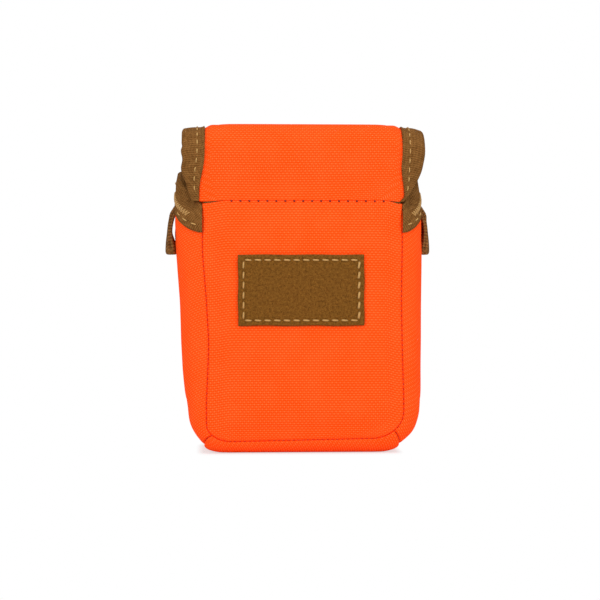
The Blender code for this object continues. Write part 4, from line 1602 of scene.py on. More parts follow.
    def build(self) -> None:
        """Build every piece of the body."""
        self.front_shell()
        self.back_shell()
        self.bottom_shell()
        self.panel_linings()
        self.gusset_lining()
        self.back_rim_tape()
        self.hinge_stitches()
        self.seam_allowances()
        self.seam_stitches()
        for side in Side:
            self.side_shell(side)
            self.mouth_tape(side)
            self.bartack(side)


@dataclass
class Lid:
    """The lid: padded shell, lining, edge tapes and pull tab, all turning about the front hinge seam."""

    finishes: Finishes
    sewn: SewnBody
    fold: TapeFold = field(default_factory=lambda: TapeFold(width=0.0080))
    body: str = "lid"
    top: float = 0.1342
    half_width: float = 0.0482
    lip_half_width: float = 0.0440
    taper_start: float = 0.6
    front_radius: float = 0.0090
    rear_start: float = 0.0030
    lip_y: float = 0.0275
    lip_top: float = 0.1140
    lip_bottom: float = 0.1040
    lip_tuck: float = 0.0012
    bend_start: float = 0.0390
    corner_cuts: tuple[float, float] = (0.0050, 0.0075)
    corner_powers: tuple[float, float] = (1.5, 2.2)
    corner_travel: float = 0.127
    edge_waves: tuple[float, float] = (0.0003, 0.0)
    stitch_share: float = 0.38
    inner_moves: tuple[float, float] = (0.0010, 0.0018)
    bend_length: float = 0.0060
    bend_angle: float = math.radians(38)
    bend_height: float = 0.0240
    corner_slope: float = 0.1
    corner_start: float = 0.0015
    edge_ease: float = 0.0040
    edge_sink: float = 0.0020
    left_round: float = 0.0006
    right_round: float = 0.0014
    skew: float = 0.0012
    tab_half_width: float = 0.0075
    tab_top: float = 0.1130
    tab_bottom: float = 0.0920
    tab_taper: float = 0.12

    def edge(self, side: Array, travel: Array) -> Array:
        """Half width along the cloth: powers round the hinge's corners, and a smooth step narrows the rear.

        Args:
            side: Below 0 for the left edge.
            travel: 0 at the hinge to 1 at the lip's edge.

        Returns:
            Distances from the middle.
        """
        taper = eased((travel - self.taper_start) / (1 - self.taper_start))
        short = 1 - np.clip(travel / self.corner_travel, 0.0, 1.0)
        cut = np.where(side < 0, *self.corner_cuts) * short ** np.where(side < 0, *self.corner_powers)
        return self.half_width + (self.lip_half_width - self.half_width) * taper - cut

    def tape_inner(self, side: Array, travel: Array) -> Array:
        """Distance of an edge tape's inner edge from the middle, which moves out a little near the hinge.

        Args:
            side: Below 0 for the left tape.
            travel: 0 at the hinge to 1 at the lip's edge.

        Returns:
            Distances from the middle, always short of the lid's edge.
        """
        near = 1 - eased((travel / self.corner_travel - 0.2) / 0.9)
        uncut = self.edge(side, np.maximum(travel, self.corner_travel)) - self.fold.width
        moved = uncut + np.where(side < 0, *self.inner_moves) * near
        return np.minimum(moved, self.edge(side, travel) - 0.0006)

    def travels(self) -> Array:
        """Rows of the lid's grids: travel from the hinge over the top to the lip, fine where it bends."""
        counts = (44, 20, 14, 34, 12)
        stages = [np.linspace(i / 5, (i + 1) / 5, n + 1)[:-1] for i, n in enumerate(counts)]
        first = stages[0] / 0.2
        stages[0] = 0.2 * (0.4 * first + 0.6 * (1 - np.cos(first * math.pi / 2)))
        return np.concatenate((*stages, [1.0]))

    def at(self, cloth_x: Array, travel: Array, depth: Array, beyond: Array = 0.0) -> Array:
        """Points of a lid layer.

        In five equal stages of travel the profile is the front wall, a quarter circle, the flat top,
        a quarter ellipse and the straight lip. Near the hinge both sides turn inwards: an arc whose
        angle fades up the front wall, then straight. High up, both sides sink and the whole lid sits
        a little to the right, by smooth steps.

        Args:
            cloth_x: Place across, along the cloth.
            travel: 0 at the hinge to 1 at the lip's edge.
            depth: Distance inwards from the outside.
            beyond: Distance down past the lip's edge.

        Returns:
            Points on the last axis.
        """
        form = self.sewn.form
        past = np.maximum(0.0, np.abs(cloth_x) - self.bend_start)
        wall, bow, roof, rear, lip = (np.clip(travel * 5 - i, 0.0, 1.0) for i in range(5))
        droop, half_gap = self.sewn.hinge_line(cloth_x)
        start = form.hinge_height + half_gap - droop
        start = start + self.corner_slope * np.maximum(0.0, past - self.corner_start)
        bow_angle, rear_angle = bow * math.pi / 2, rear * math.pi / 2
        front_y = self.front_radius - form.half_depth
        reach, drop = self.lip_y - self.rear_start, self.top - self.lip_top
        y = front_y - self.front_radius * np.cos(bow_angle) + (self.rear_start - front_y) * roof
        y = y + reach * np.sin(rear_angle)
        z = start + (self.top - self.front_radius - start) * wall + self.front_radius * np.sin(bow_angle)
        z = z - drop * (1 - np.cos(rear_angle)) + (self.lip_bottom - self.lip_top) * lip
        behind = travel > self.taper_start
        scale = np.hypot(np.sin(rear_angle) * drop, np.cos(rear_angle) * reach)
        in_y = np.where(behind, -np.sin(rear_angle) * drop / scale, np.cos(bow_angle))
        in_z = np.where(behind, -np.cos(rear_angle) * reach / scale, -np.sin(bow_angle))
        fade = 1 - eased((z - form.hinge_height) / self.bend_height)
        bend = np.maximum(np.where(travel < 0.2, self.bend_angle * fade, 0.0), 1e-6)
        on_arc = np.minimum(past, self.bend_length)
        radius = self.bend_length / bend
        tilt = on_arc / radius
        out = radius * np.sin(tilt) + (past - on_arc) * np.cos(tilt)
        back = radius * (1 - np.cos(tilt)) + (past - on_arc) * np.sin(tilt)
        x = np.abs(cloth_x) - past + out - depth * np.sin(tilt)
        inwards = back + depth * np.cos(tilt)
        high = eased((z - 0.117) / 0.014)
        sunk = self.edge_sink * eased((np.abs(cloth_x) - 0.0370) / 0.0050)
        rounding = np.where(cloth_x < 0, self.left_round, self.right_round)
        sunk = sunk + rounding * eased((np.abs(cloth_x) - 0.0430) / 0.0070) ** 1.5
        aside = self.skew * eased((z - 0.108) / 0.016)
        z = z + in_z * inwards - beyond - high * sunk
        return stacked(np.sign(cloth_x) * x + aside, y + in_y * inwards, z)

    def shell(self) -> bpy.types.Object:
        """The padded lid panel.

        Returns:
            The piece.
        """
        travel = self.travels()[:, None]
        sides = crowded(112)[None, :]
        cloth_x = sides * self.edge(sides, travel)
        roll = self.sewn.hinge_roll
        wall = self.top - self.front_radius - self.sewn.form.hinge_height
        above = np.clip(1 - travel * 5 * wall / (2 * roll), 0.0, 1.0)
        depth = roll * (1 - np.sqrt(1 - above**2)) + 0 * cloth_x
        points = self.at(cloth_x, travel + 0 * cloth_x, depth)
        layers = self.sewn.layers
        piece = cloth_piece("lid_shell", points, layers.shell, self.finishes.shell, (0, 0, 1), Lie.INWARDS)
        inside = self.edge(sides, travel) - np.abs(cloth_x)
        clear = np.minimum((inside - 0.010) / 0.008, (travel - 0.03) / 0.06)
        loose = np.clip(np.minimum(clear, (0.78 - travel) / 0.10), 0.0, 1.0)
        settle(piece, points, (0, 0, 1), loose, Vector((0, -10.0, 25.0)), 0.0004)
        return dress(piece, self.body, ("lid_panel", "lid_foam"))

    def lining(self) -> bpy.types.Object:
        """The lid's lining, drawn in to the panel under the edge tapes and over the lip's magnets.

        Returns:
            The piece.
        """
        layers = self.sewn.layers
        travel = self.travels()[::2, None]
        sides = crowded(72, 0.4)[None, :]
        edge = self.edge(sides, travel)
        cloth_x = sides * edge
        pocket = eased((travel - 0.70) / 0.15)
        deepest = layers.lid_lining_depth + (layers.pocket_depth - layers.lid_lining_depth) * pocket
        ease = np.clip((edge - np.abs(cloth_x) - self.fold.width) / self.edge_ease, 0.0, 1.0)
        depth = layers.foam_depth + (deepest - layers.foam_depth) * ease + layers.lining / 2
        points = self.at(cloth_x, travel + 0 * cloth_x, depth)
        piece = cloth_piece("lid_lining_cloth", points, layers.lining, self.finishes.lining, (0, 0, -1))
        return dress(piece, self.body, ("lid_lining",))

    def over_lip(self, travel: Array) -> Array:
        """How far a side tape is raised by the lip tape's end under it: a smooth step at that tape's edge."""
        return (self.sewn.layers.tape + self.sewn.layers.gap) * eased((travel - 0.79) / 0.05)

    def side_tape(self, side: Side) -> bpy.types.Object:
        """Tape folded over a side edge of the lid, from the hinge corner to the lip, with its stitching.

        Args:
            side: Which side.

        Returns:
            The tape.
        """
        layers = self.sewn.layers
        inner = layers.foam_depth + layers.lining + layers.gap + layers.tape / 2
        inset, depth = self.fold.across(layers.on_shell, inner)
        travel = self.travels()[None, :]
        edge = self.edge(side.value, travel)
        legs = np.maximum(inset, 0.0)[:, None] / self.fold.width
        wave = np.where(side.value < 0, *self.edge_waves) * np.sin(2 * math.pi * travel / 0.085)
        wave = wave * (1 - eased((travel - 0.2) / 0.08))
        reach = edge - (edge - self.tape_inner(side.value, travel)) * legs - np.minimum(inset, 0.0)[:, None]
        cloth_x = side.value * (reach + wave * np.clip(1 - legs, 0.0, 1.0))
        outside = np.interp(depth, (layers.on_shell, inner), (1.0, 0.0))[:, None]
        points = self.at(cloth_x, travel + 0 * cloth_x, depth[:, None] - self.over_lip(travel) * outside)
        name = f"{side.word}_lid_tape"
        tape = cloth_piece(name, points, layers.tape, self.finishes.tape, (0, 0, 1))
        dress(tape, self.body, (f"{side.word}_lid_binding",))

        def line(share: Array, inwards: float) -> Array:
            """Points along the tape's stitching."""
            inner = self.tape_inner(side.value, share)
            place = side.value * (inner + self.stitch_share * (self.edge(side.value, share) - inner))
            return self.at(place, share, inwards - self.over_lip(share))

        row = StitchRow.along(line, -(layers.gap + layers.tape), self.sewn.seam_pitch, 0.74, (0.03, 0.99))
        stitches = row.piece(f"{name}_stitches", self.sewn.tape_thread, self.finishes.thread)
        dress(stitches, self.body)
        return tape

    def lip_tape(self) -> bpy.types.Object:
        """Tape folded over the lip's lower edge, its ends under the side tapes, with its stitching.

        Returns:
            The tape.
        """
        layers = self.sewn.layers
        inner = layers.pocket_depth + layers.lining + layers.gap + layers.tape / 2
        inset, depth = self.fold.across(layers.on_shell, inner)
        half = self.lip_half_width - self.fold.width - 2 * layers.gap
        end = self.lip_half_width - self.lip_tuck
        cloth_x = np.linspace(-end, end, 73)[None, :]
        ones = np.ones_like(cloth_x)
        points = self.at(cloth_x, ones, depth[:, None] * ones, -inset[:, None] * ones)
        tape = cloth_piece("lip_tape", points, layers.tape, self.finishes.tape, (0, 1, 0))
        dress(tape, self.body, ("lid_lip_binding",))

        def line(share: Array, inwards: float) -> Array:
            """Points along the lip's stitching."""
            place = half * (2 * share - 1)
            raised = np.full_like(share, -self.fold.stitch_inset)
            return self.at(place, np.ones_like(share), np.full_like(share, inwards), raised)

        row = StitchRow.along(line, -(layers.gap + layers.tape), self.sewn.seam_pitch, 0.74, (0.01, 0.99))
        stitches = row.piece("lip_tape_stitches", self.sewn.tape_thread, self.finishes.thread)
        dress(stitches, self.body)
        return tape

    def pull_tab(self) -> bpy.types.Object:
        """Webbing doubled round its lower bend and sewn to the lip: straight, a half circle and straight.

        Returns:
            The piece.
        """
        layers = self.sewn.layers
        near = self.lip_y + 2 * layers.gap + layers.tape + 0.0005
        radius = 0.0006
        turn = np.linspace(0.0, math.pi, 13)
        bend = self.tab_bottom + radius + 0.0005
        leg = np.linspace(self.tab_top, bend, 15)[:-1]
        flat = near + 0 * leg
        y = np.concatenate((flat, near + radius * (1 - np.cos(turn)), flat + 2 * radius))
        z = np.concatenate((leg, bend - radius * np.sin(turn), leg[::-1]))
        taper = 1 - self.tab_taper * (self.tab_top - z) / (self.tab_top - self.tab_bottom)
        x = np.linspace(-1.0, 1.0, 19)[None, :] * (self.tab_half_width * taper)[:, None]
        points = stacked(x, y[:, None], z[:, None])
        piece = cloth_piece("pull_tab", points, 0.0010, self.finishes.webbing, (0, 0, -1))
        return dress(piece, self.body, ("lid_pull_tab",))

    def tab_stitches(self) -> bpy.types.Object:
        """A box of stitching with crossed lines that holds the pull tab to the lip.

        Returns:
            The piece.
        """
        layers = self.sewn.layers
        y = self.lip_y + 2 * layers.gap + layers.tape + 0.0022
        row = boxed_cross(0.0, self.tab_top - 0.0045, 0.0056, 0.0032, y, 0.0021)
        piece = row.piece("pull_tab_stitches", self.sewn.tape_thread, self.finishes.thread)
        return dress(piece, self.body)

    def build(self) -> None:
        """Build every piece of the lid."""
        self.shell()
        self.lining()
        self.lip_tape()
        self.pull_tab()
        self.tab_stitches()
        for side in Side:
            self.side_tape(side)


def boxed_cross(x: float, z: float, half_x: float, half_z: float, y: float, pitch: float) -> StitchRow:
    """Stitches round a box and along its two diagonals, on a plane that faces back.

    Args:
        x: Middle across.
        z: Middle up.
        half_x: Half the box's width.
        half_z: Half the box's height.
        y: The plane.
        pitch: Distance from stitch to stitch.

    Returns:
        The row.
    """
    corners = np.array(((-1, -1), (1, -1), (1, 1), (-1, 1), (-1, -1), (1, 1), (-1, 1), (1, -1)), dtype=float)
    runs = ((0, 1), (1, 2), (2, 3), (3, 4), (4, 5), (6, 7))
    rows = []
    for first, last in runs:
        ends = corners[[first, last]] * (half_x, half_z) + (x, z)

        def line(share: Array, depth: float, ends: Array = ends) -> Array:
            """Points along one straight run."""
            place = ends[0] + (ends[1] - ends[0]) * share[:, None]
            return stacked(place[:, 0], y - depth, place[:, 1])

        rows.append(StitchRow.along(line, 0.0, pitch, 0.78))
    return rows[0].joined(*rows[1:])


@dataclass
class Patch:
    """The bare leather patch sewn to the front panel, with its border of stitching."""

    finishes: Finishes
    sewn: SewnBody
    width: float = 0.0512
    height: float = 0.0288
    middle: float = 0.0666
    thickness: float = 0.0012
    edge_round: float = 0.0004
    thread_inset: float = 0.0022
    thread_radius: float = 0.00038
    stitch_pitch: float = 0.00397

    def build(self) -> None:
        """Build the leather and its stitching."""
        self.leather()
        self.border()

    def face(self, x: Array, height: Array, raised: Array) -> Array:
        """Points a distance out from the crowned front panel."""
        return stacked(x, self.sewn.form.front_face(x, height, -raised), height)

    def leather(self) -> bpy.types.Object:
        """The leather: cut edges rounded as quarter circles, and pressed in along the stitching.

        Returns:
            The piece.
        """
        across = crowded(90)[None, :] * self.width / 2
        up = crowded(60)[:, None] * self.height / 2
        edge = np.minimum(self.width / 2 - np.abs(across), self.height / 2 - np.abs(up))
        near = np.clip(1 - edge / self.edge_round, 0.0, 1.0)
        rounded = self.edge_round * (1 - np.sqrt(1 - near**2))
        pressed = 0.00018 * np.exp(-(((edge - self.thread_inset) / 0.0007) ** 2))
        raised = self.sewn.layers.gap + self.thickness - rounded - pressed
        wavy = 0.00012 * np.sin(up * 420.0) * (np.abs(across) > 0.02)
        points = self.face(across + wavy, self.middle + up + 0.0001 * np.sin(across * 310.0), raised)
        thickness = self.thickness * 0.9
        piece = cloth_piece("patch", points, thickness, self.finishes.leather, (0, -1, 0), Lie.INWARDS)
        return dress(piece, "pouch", ("label_patch",))

    def border(self) -> bpy.types.Object:
        """Four runs of stitching, with the right-hand run sewn over twice.

        Returns:
            The piece.
        """
        half_x = self.width / 2 - self.thread_inset
        half_z = self.height / 2 - self.thread_inset
        runs = (
            ((-1, 1), (1, 1), 0.0, 0.06),
            ((1, -1), (-1, -1), 0.0, 0.06),
            ((-1, -1), (-1, 1), 0.0, 0.05),
            ((1, 1), (1, -1), 0.0001, 0.16),
            ((1, -1), (1, 1), -0.0001, 0.16),
        )
        rows = []
        for first, last, aside, slant in runs:
            ends = np.array((first, last)) * (half_x, half_z)

            def line(share: Array, depth: float, ends: Array = ends, aside: float = aside) -> Array:
                """Points along one run, lying on the leather."""
                place = ends[0] + (ends[1] - ends[0]) * share[:, None]
                raised = self.sewn.layers.gap + self.thickness - depth
                return self.face(place[:, 0] + aside, self.middle + place[:, 1], raised)

            rows.append(StitchRow.along(line, 0.0001, self.stitch_pitch, 0.95, slant=slant))
        row = rows[0].joined(*rows[1:])
        piece = row.piece("patch_stitches", self.thread_radius, self.finishes.patch_thread)
        return dress(piece, "pouch", ("label_thread",))


@dataclass
class TetherLoop:
    """A loop of webbing that hangs from under the mouth tape at one side."""

    finishes: Finishes
    side: Side
    width: float = 0.0100
    thickness: float = 0.0011
    middle_y: float = -0.0090

    @property
    def shift(self) -> float:
        """The right loop hangs closer in, with the pressed mouth."""
        return -0.0010 if self.side is Side.RIGHT else -0.0003

    def build(self) -> bpy.types.Object:
        """The loop: its middle line in the plane of the front, carried front to back by its width.

        Both strands close on the line between them towards the webbing's edges, as a square of the place.

        Returns:
            The piece.
        """
        outer = ((50.2, 101.2), (51.4, 99.4), (52.5, 97.4), (53.3, 93.6), (53.7, 90.0), (54.1, 86.7))
        bend = ((54.3, 83.6), (54.2, 82.0), (53.6, 81.7), (52.8, 82.5), (52.4, 83.3), (52.0, 83.0))
        turn = ((51.4, 82.0), (50.8, 81.7), (50.3, 82.4), (50.4, 84.0))
        inner = ((51.5, 87.0), (52.5, 90.2), (52.2, 93.8), (51.3, 97.2), (50.1, 99.4))
        route = np.array((*outer, *bend, *turn, *inner, (49.2, 101.0))) / MM
        line = smooth_line(route, 120)
        heights = (0.0815, 0.086, 0.092, 0.098, 0.101)
        heart = np.interp(line[:, 1:], heights, (0.0524, 0.0529, 0.0527, 0.0517, 0.0498))
        across = np.linspace(-0.5, 0.5, 17)[None, :]
        closing = 1 - 0.75 * (2 * across) ** 2 * eased((0.0975 - line[:, 1:]) / 0.004)
        x = self.side.value * (heart + (line[:, :1] - heart) * closing) + self.shift
        points = stacked(x, self.middle_y + across * self.width, line[:, 1:])
        name = f"{self.side.word}_loop_webbing"
        piece = cloth_piece(name, points, self.thickness, self.finishes.webbing, (0, 0, -1))
        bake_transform(piece)
        return dress(piece, "", (f"{self.side.word}_tether_loop",))


def smooth_line(route: Array, count: int) -> Array:
    """A smooth line through points: a cubic between each two whose slopes come from their neighbours.

    Args:
        route: Points to pass through.
        count: How many steps.

    Returns:
        Points on the line.
    """
    padded = np.concatenate((2 * route[:1] - route[1:2], route, 2 * route[-1:] - route[-2:-1]))
    place = np.linspace(0.0, len(route) - 1 - 1e-9, count + 1)
    first = place.astype(int)
    share = (place - first)[:, None]
    before, start, end, after = (padded[first + i] for i in range(4))
    return 0.5 * (
        2 * start
        + (end - before) * share
        + (2 * before - 5 * start + 4 * end - after) * share**2
        + (3 * start - before - 3 * end + after) * share**3
    )


@dataclass
class RearWebbing:
    """Two rows of webbing sewn across the back, and the bartacks that divide them."""

    finishes: Finishes
    sewn: SewnBody
    row_height: float = 0.0250
    middles: tuple[tuple[str, float], ...] = (("upper_webbing", 0.0820), ("lower_webbing", 0.0320))
    bartack_x: tuple[float, ...] = (-0.0365, 0.0, 0.0365)

    def build(self) -> None:
        """Build both rows and their bartacks."""
        form, layers = self.sewn.form, self.sewn.layers
        for node, middle in self.middles:
            up = np.linspace(-0.5, 0.5, 31)[:, None]
            height = middle + up * self.row_height
            sides = np.linspace(-1.0, 1.0, 81)[None, :]
            x = sides * (form.seam_half(sides, height) - 0.0012)
            bow = 0.00035 * np.sin(x / 0.0365 * math.pi) ** 2 * np.cos(up * math.pi) ** 0.5
            y = form.half_depth + layers.gap + layers.webbing / 2 + bow
            points = stacked(x, y, height)
            piece = cloth_piece(f"{node}_row", points, layers.webbing, self.finishes.webbing, (0, 1, 0))
            dress(piece, "pouch", (node,))
            self.bartacks(node, middle)

    def bartacks(self, node: str, middle: float) -> bpy.types.Object:
        """Upright zigzag bartacks at three places on a row.

        Args:
            node: The row's name.
            middle: Its height.

        Returns:
            The piece.
        """
        layers = self.sewn.layers
        count = 30
        z = middle + np.linspace(-0.45, 0.45, count + 1) * self.row_height
        flip = np.where(np.arange(count) % 2 == 0, 0.0009, -0.0009)
        y = np.full(count, self.sewn.form.half_depth + layers.gap + layers.webbing + 0.0001)
        normals = np.tile((0.0, 1.0, 0.0), (count, 1))
        rows = [
            StitchRow(stacked(x - flip, y, z[:-1]), stacked(x + flip, y, z[1:]), normals)
            for x in self.bartack_x
        ]
        piece = rows[0].joined(*rows[1:]).piece(f"{node}_bartacks", 0.00024, self.finishes.brown_thread, 0.8)
        return dress(piece, "pouch")


@dataclass
class CarryStrap:
    """A rear strap of webbing, sewn at its top, with a snap at its bottom."""

    finishes: Finishes
    sewn: SewnBody
    side: Side
    x: float = 0.0190
    width: float = 0.0220
    thickness: float = 0.0014
    plane: float = 0.0247
    pivot: float = 0.0953
    bottom: float = 0.0070
    top: float = 0.1015
    lift: float = 0.0012
    flat_to: float = 0.0240
    lifted_at: float = 0.0190
    snap_height: float = 0.0125
    segments: int = 48

    @property
    def middle(self) -> float:
        """Place of the strap's middle across the back."""
        return self.side.value * self.x

    def build(self) -> None:
        """Build the strap, its sewn end and the snap's stud, socket and cap."""
        self.webbing()
        self.sewn_end()
        self.snap()

    def webbing(self) -> bpy.types.Object:
        """The strap, bending at its sewn end, and lifted by a smooth step over its snap.

        Returns:
            The piece.
        """
        height = np.linspace(self.top, self.bottom, 121)[:, None]
        lift = self.lift * eased((self.flat_to - height) / (self.flat_to - self.lifted_at))
        across = crowded(24, 0.3)[None, :]
        radius = 0.0022
        low = np.clip((self.bottom + radius - height) / radius, 0.0, 1.0)
        rounding = radius * (1 - np.sqrt(1 - low**2))
        half = self.width / 2 - rounding
        y = self.plane + lift + 0.00008 * np.cos(across * math.pi)
        points = stacked(self.middle + across * half, y, height)
        name = f"{self.side.word}_strap_webbing"
        piece = cloth_piece(name, points, self.thickness, self.finishes.webbing, (0, 1, 0))
        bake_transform(piece)
        return dress(piece, "", (f"{self.side.word}_strap",))

    def sewn_end(self) -> None:
        """The strap's end folded under it at the top, and the box of stitching through both."""
        layers = self.sewn.layers
        height = np.linspace(self.top, 0.0964, 15)[:, None]
        across = np.linspace(-1.0, 1.0, 25)[None, :] * self.width / 2
        y = self.sewn.form.half_depth + layers.gap + layers.webbing / 2 + 0 * height
        points = stacked(self.middle + across, y, height)
        name = f"{self.side.word}_strap_end"
        piece = cloth_piece(name, points, layers.webbing, self.finishes.webbing, (0, 1, 0))
        dress(piece, "pouch", (f"{self.side.word}_strap_anchor",))
        surface = self.plane + self.thickness / 2
        row = boxed_cross(self.middle, 0.0992, 0.0092, 0.0016, surface + 0.0001, 0.0022)
        stitches = row.piece(f"{name}_stitches", self.sewn.tape_thread, self.finishes.brown_thread)
        dress(stitches, "pouch")

    def snap(self) -> None:
        """The stud on the pouch, and the socket and cap on the strap, each turned about the snap's axis."""
        face = self.sewn.form.half_depth
        under = self.plane + self.lift - face - self.thickness / 2
        over = under + self.thickness
        word = self.side.word
        dome = ((0.0, 2.8), (1.5, 2.8), (2.0, 2.5), (2.2, 2.1))
        stud = (*dome, (1.9, 1.6), (1.8, 1.2), (2.4, 0.95), (4.2, 0.9))
        stud = np.array((*stud, (4.6, 0.7), (4.6, 0.3), (0.0, 0.3))) / MM
        ring = ((2.6, 0.0), (4.9, 0.0), (5.3, -0.4), (5.1, -0.9))
        socket = np.array((*ring, (4.0, -1.2), (2.8, -1.2), (2.6, -1.0)))
        socket = socket / MM + (0.0, under - 0.0003)
        crown = ((0.0, 1.3), (1.6, 1.27), (3.0, 1.15), (4.2, 0.92))
        cap = (*crown, (5.0, 0.6), (5.4, 0.25), (5.5, 0.05), (5.3, 0.0))
        cap = np.array((*cap, (0.0, 0.0))) / MM + (0.0, over + 0.0002)
        for name, profile, body in (
            ("snap_stud", stud, "pouch"),
            ("snap_socket", socket, f"{word}_strap"),
            ("snap_cap", cap, f"{word}_strap"),
        ):
            piece = self.turned(f"{word}_{name}_metal", profile, closed=name == "snap_socket")
            dress(piece, body, (f"{word}_{name}",))

    def turned(self, name: str, profile: Array, closed: bool) -> bpy.types.Object:
        """A profile of (radius, distance out from the back) turned about the snap's axis.

        Args:
            name: The piece's name.
            profile: Points of the profile, from the outer end round to the inner.
            closed: Whether the profile joins up, as a ring's does.

        Returns:
            The new object.
        """
        loop = np.concatenate((profile, profile[:1])) if closed else profile
        angle = np.arange(self.segments) / self.segments * 2 * math.pi
        radius, out = loop[:, :1], loop[:, 1:]
        x = self.middle + radius * np.cos(angle)
        z = self.snap_height + radius * np.sin(angle)
        points = stacked(x, self.sewn.form.half_depth + out, z)
        faces = grid_faces(len(loop), self.segments, around=True)
        flat = points.reshape(-1, 3)
        made = put_mesh(name, flat, faces, flat[:, ::2] * MM, self.finishes.snap)
        weld = made.modifiers.new("Closed middle", "WELD")
        weld.merge_threshold = 1e-6
        bevel = made.modifiers.new("Broken edges", "BEVEL")
        bevel.width = 0.00008
        bevel.segments = 2
        bevel.angle_limit = math.radians(50)
        return made


def seen_by_camera(tree: bpy.types.NodeTree) -> bpy.types.NodeSocket:
    """A value that is 1 for rays that reach the camera, straight or by way of gloss or glass, and else 0.

    Args:
        tree: The nodes of the floor or the world.

    Returns:
        The value's socket.
    """
    rays = add_node(tree, "ShaderNodeLightPath")
    seen = rays.outputs["Is Camera Ray"]
    for other in ("Is Glossy Ray", "Is Transmission Ray"):
        seen = math_value(tree, "MAXIMUM", seen, rays.outputs[other])
    return seen


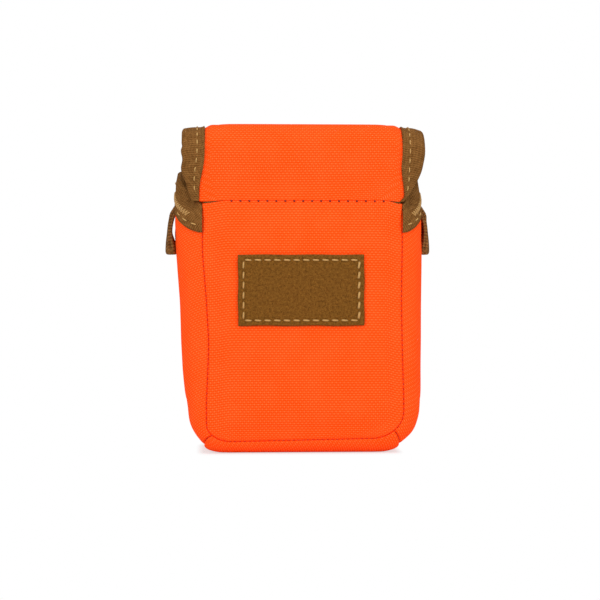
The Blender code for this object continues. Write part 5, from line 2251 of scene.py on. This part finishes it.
@dataclass
class Studio:
    """A white floor and world, soft front light and a long lens level with the pouch."""

    lens: float = 110.0
    frame_width: float = 0.2436
    aim: tuple[float, float, float] = (-0.0004, -0.0220, 0.0626)
    azimuth: float = -3.0
    elevation: float = 0.9
    fill: float = 0.45
    floor_glow: float = 0.62

    def build(self) -> None:
        """Build the camera, lights, floor and world."""
        self.camera()
        self.lights()
        self.floor()
        self.world()

    def camera(self) -> None:
        """The camera, so far off that the frame's width fits across the front of the pouch."""
        data = bpy.data.cameras.new("camera")
        data.lens = self.lens
        camera = bpy.data.objects.new("camera", data)
        away = self.frame_width * self.lens / data.sensor_width
        turn, tilt = math.radians(self.azimuth), math.radians(self.elevation)
        back = Vector((math.sin(turn) * math.cos(tilt), -math.cos(turn) * math.cos(tilt), math.sin(tilt)))
        camera.location = Vector(self.aim) + back * away
        camera.rotation_euler = (-back).to_track_quat("-Z", "Y").to_euler()
        bpy.context.scene.collection.objects.link(camera)
        bpy.context.scene.camera = camera

    def lights(self) -> None:
        """Three large soft lamps: left, right and above the front."""
        for name, place, size, power in (
            ("left_softbox", (-0.75, -1.00, 0.55), 0.9, 6.2),
            ("right_softbox", (0.75, -1.00, 0.50), 0.9, 5.6),
            ("top_softbox", (0.0, -0.25, 1.10), 0.8, 4.0),
        ):
            data = bpy.data.lights.new(name, "AREA")
            data.size = size
            data.energy = power
            lamp = bpy.data.objects.new(name, data)
            lamp.location = place
            lamp.rotation_euler = (Vector(self.aim) - lamp.location).to_track_quat("-Z", "Y").to_euler()
            bpy.context.scene.collection.objects.link(lamp)

    def floor(self) -> None:
        """A wide white paper floor that keeps the shadow.

        The camera sees it half lit and half glowing, so that the shadow is pale, and plain white a
        little way off, by the distance outside a box that is somewhat smaller than the pouch's base.
        """
        half = 6.0
        points = half * np.array(((-1.0, -1.0, 0.0), (1.0, -1.0, 0.0), (1.0, 1.0, 0.0), (-1.0, 1.0, 0.0)))
        material = bpy.data.materials.new("white_paper_floor")
        material.use_nodes = True
        tree = material.node_tree
        tree.nodes.clear()
        seen = seen_by_camera(tree)
        glow = add_node(tree, "ShaderNodeEmission", {"Color": linear("#ffffff"), "Strength": self.floor_glow})
        shaded = add_node(tree, "ShaderNodeBsdfDiffuse", {"Color": linear("#9aa9ac")})
        near = add_node(tree, "ShaderNodeAddShader", {0: glow.outputs[0], 1: shaded.outputs[0]})
        place = add_node(tree, "ShaderNodeTexCoord")
        away = place.outputs["Object"]
        for operation, value in (
            ("ABSOLUTE", None),
            ("SUBTRACT", (0.038, 0.014, 0.0)),
            ("MAXIMUM", (0.0, 0.0, 0.0)),
            ("MULTIPLY", (3.2, 1.0, 1.0)),
        ):
            inputs = {0: away} if value is None else {0: away, 1: value}
            away = add_node(tree, "ShaderNodeVectorMath", inputs, operation=operation).outputs[0]
        length = add_node(tree, "ShaderNodeVectorMath", {0: away}, operation="LENGTH").outputs["Value"]
        fade = map_range(tree, length, (0.005, 0.015))
        white = add_node(tree, "ShaderNodeEmission", {"Color": linear("#ffffff"), "Strength": 1.0})
        pale = add_node(tree, "ShaderNodeMixShader", {0: fade, 1: near.outputs[0], 2: white.outputs[0]})
        paper = add_node(tree, "ShaderNodeBsdfDiffuse", {"Color": linear("#f2f2f2")})
        both = add_node(tree, "ShaderNodeMixShader", {0: seen, 1: paper.outputs[0], 2: pale.outputs[0]})
        add_node(tree, "ShaderNodeOutputMaterial", {"Surface": both.outputs[0]})
        floor = put_mesh("floor", points, np.array(((0, 1, 2, 3),)), points[:, :2], material)

    def world(self) -> None:
        """Plain white fill light, seen as full white by the camera and in reflections."""
        world = bpy.data.worlds.new("white_studio")
        world.use_nodes = True
        tree = world.node_tree
        tree.nodes.clear()
        strength = map_range(tree, seen_by_camera(tree), (0.0, 1.0), (self.fill, 1.0))
        sky = add_node(tree, "ShaderNodeBackground", {"Color": linear("#ffffff"), "Strength": strength})
        add_node(tree, "ShaderNodeOutputWorld", {"Surface": sky.outputs[0]})
        bpy.context.scene.world = world


def finish_hidden_metal(finishes: Finishes) -> None:
    """Give the magnets and washers inside the walls, which keep their solids, a real finish.

    Args:
        finishes: The finishes.
    """
    for name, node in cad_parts.items():
        for words, material in (("magnet", finishes.magnet), ("washer", finishes.snap)):
            if words in name:
                node.data.materials.clear()
                node.data.materials.append(material)
                log.info("%s keeps its solid", name)


def main() -> None:
    """Build the studio and every sub-assembly."""
    logging.basicConfig(level=logging.INFO, format="%(message)s")
    bpy.context.scene.view_settings.view_transform = "Standard"
    Studio().build()
    finishes = Finishes.made()
    sewn = SewnBody(finishes)
    sewn.build()
    lid = Lid(finishes, sewn)
    lid.build()
    sewn.hinge_strip()
    Patch(finishes, sewn).build()
    RearWebbing(finishes, sewn).build()
    for side in Side:
        TetherLoop(finishes, side).build()
        CarryStrap(finishes, sewn, side).build()
    finish_hidden_metal(finishes)


if __name__ == "__main__":
    main()
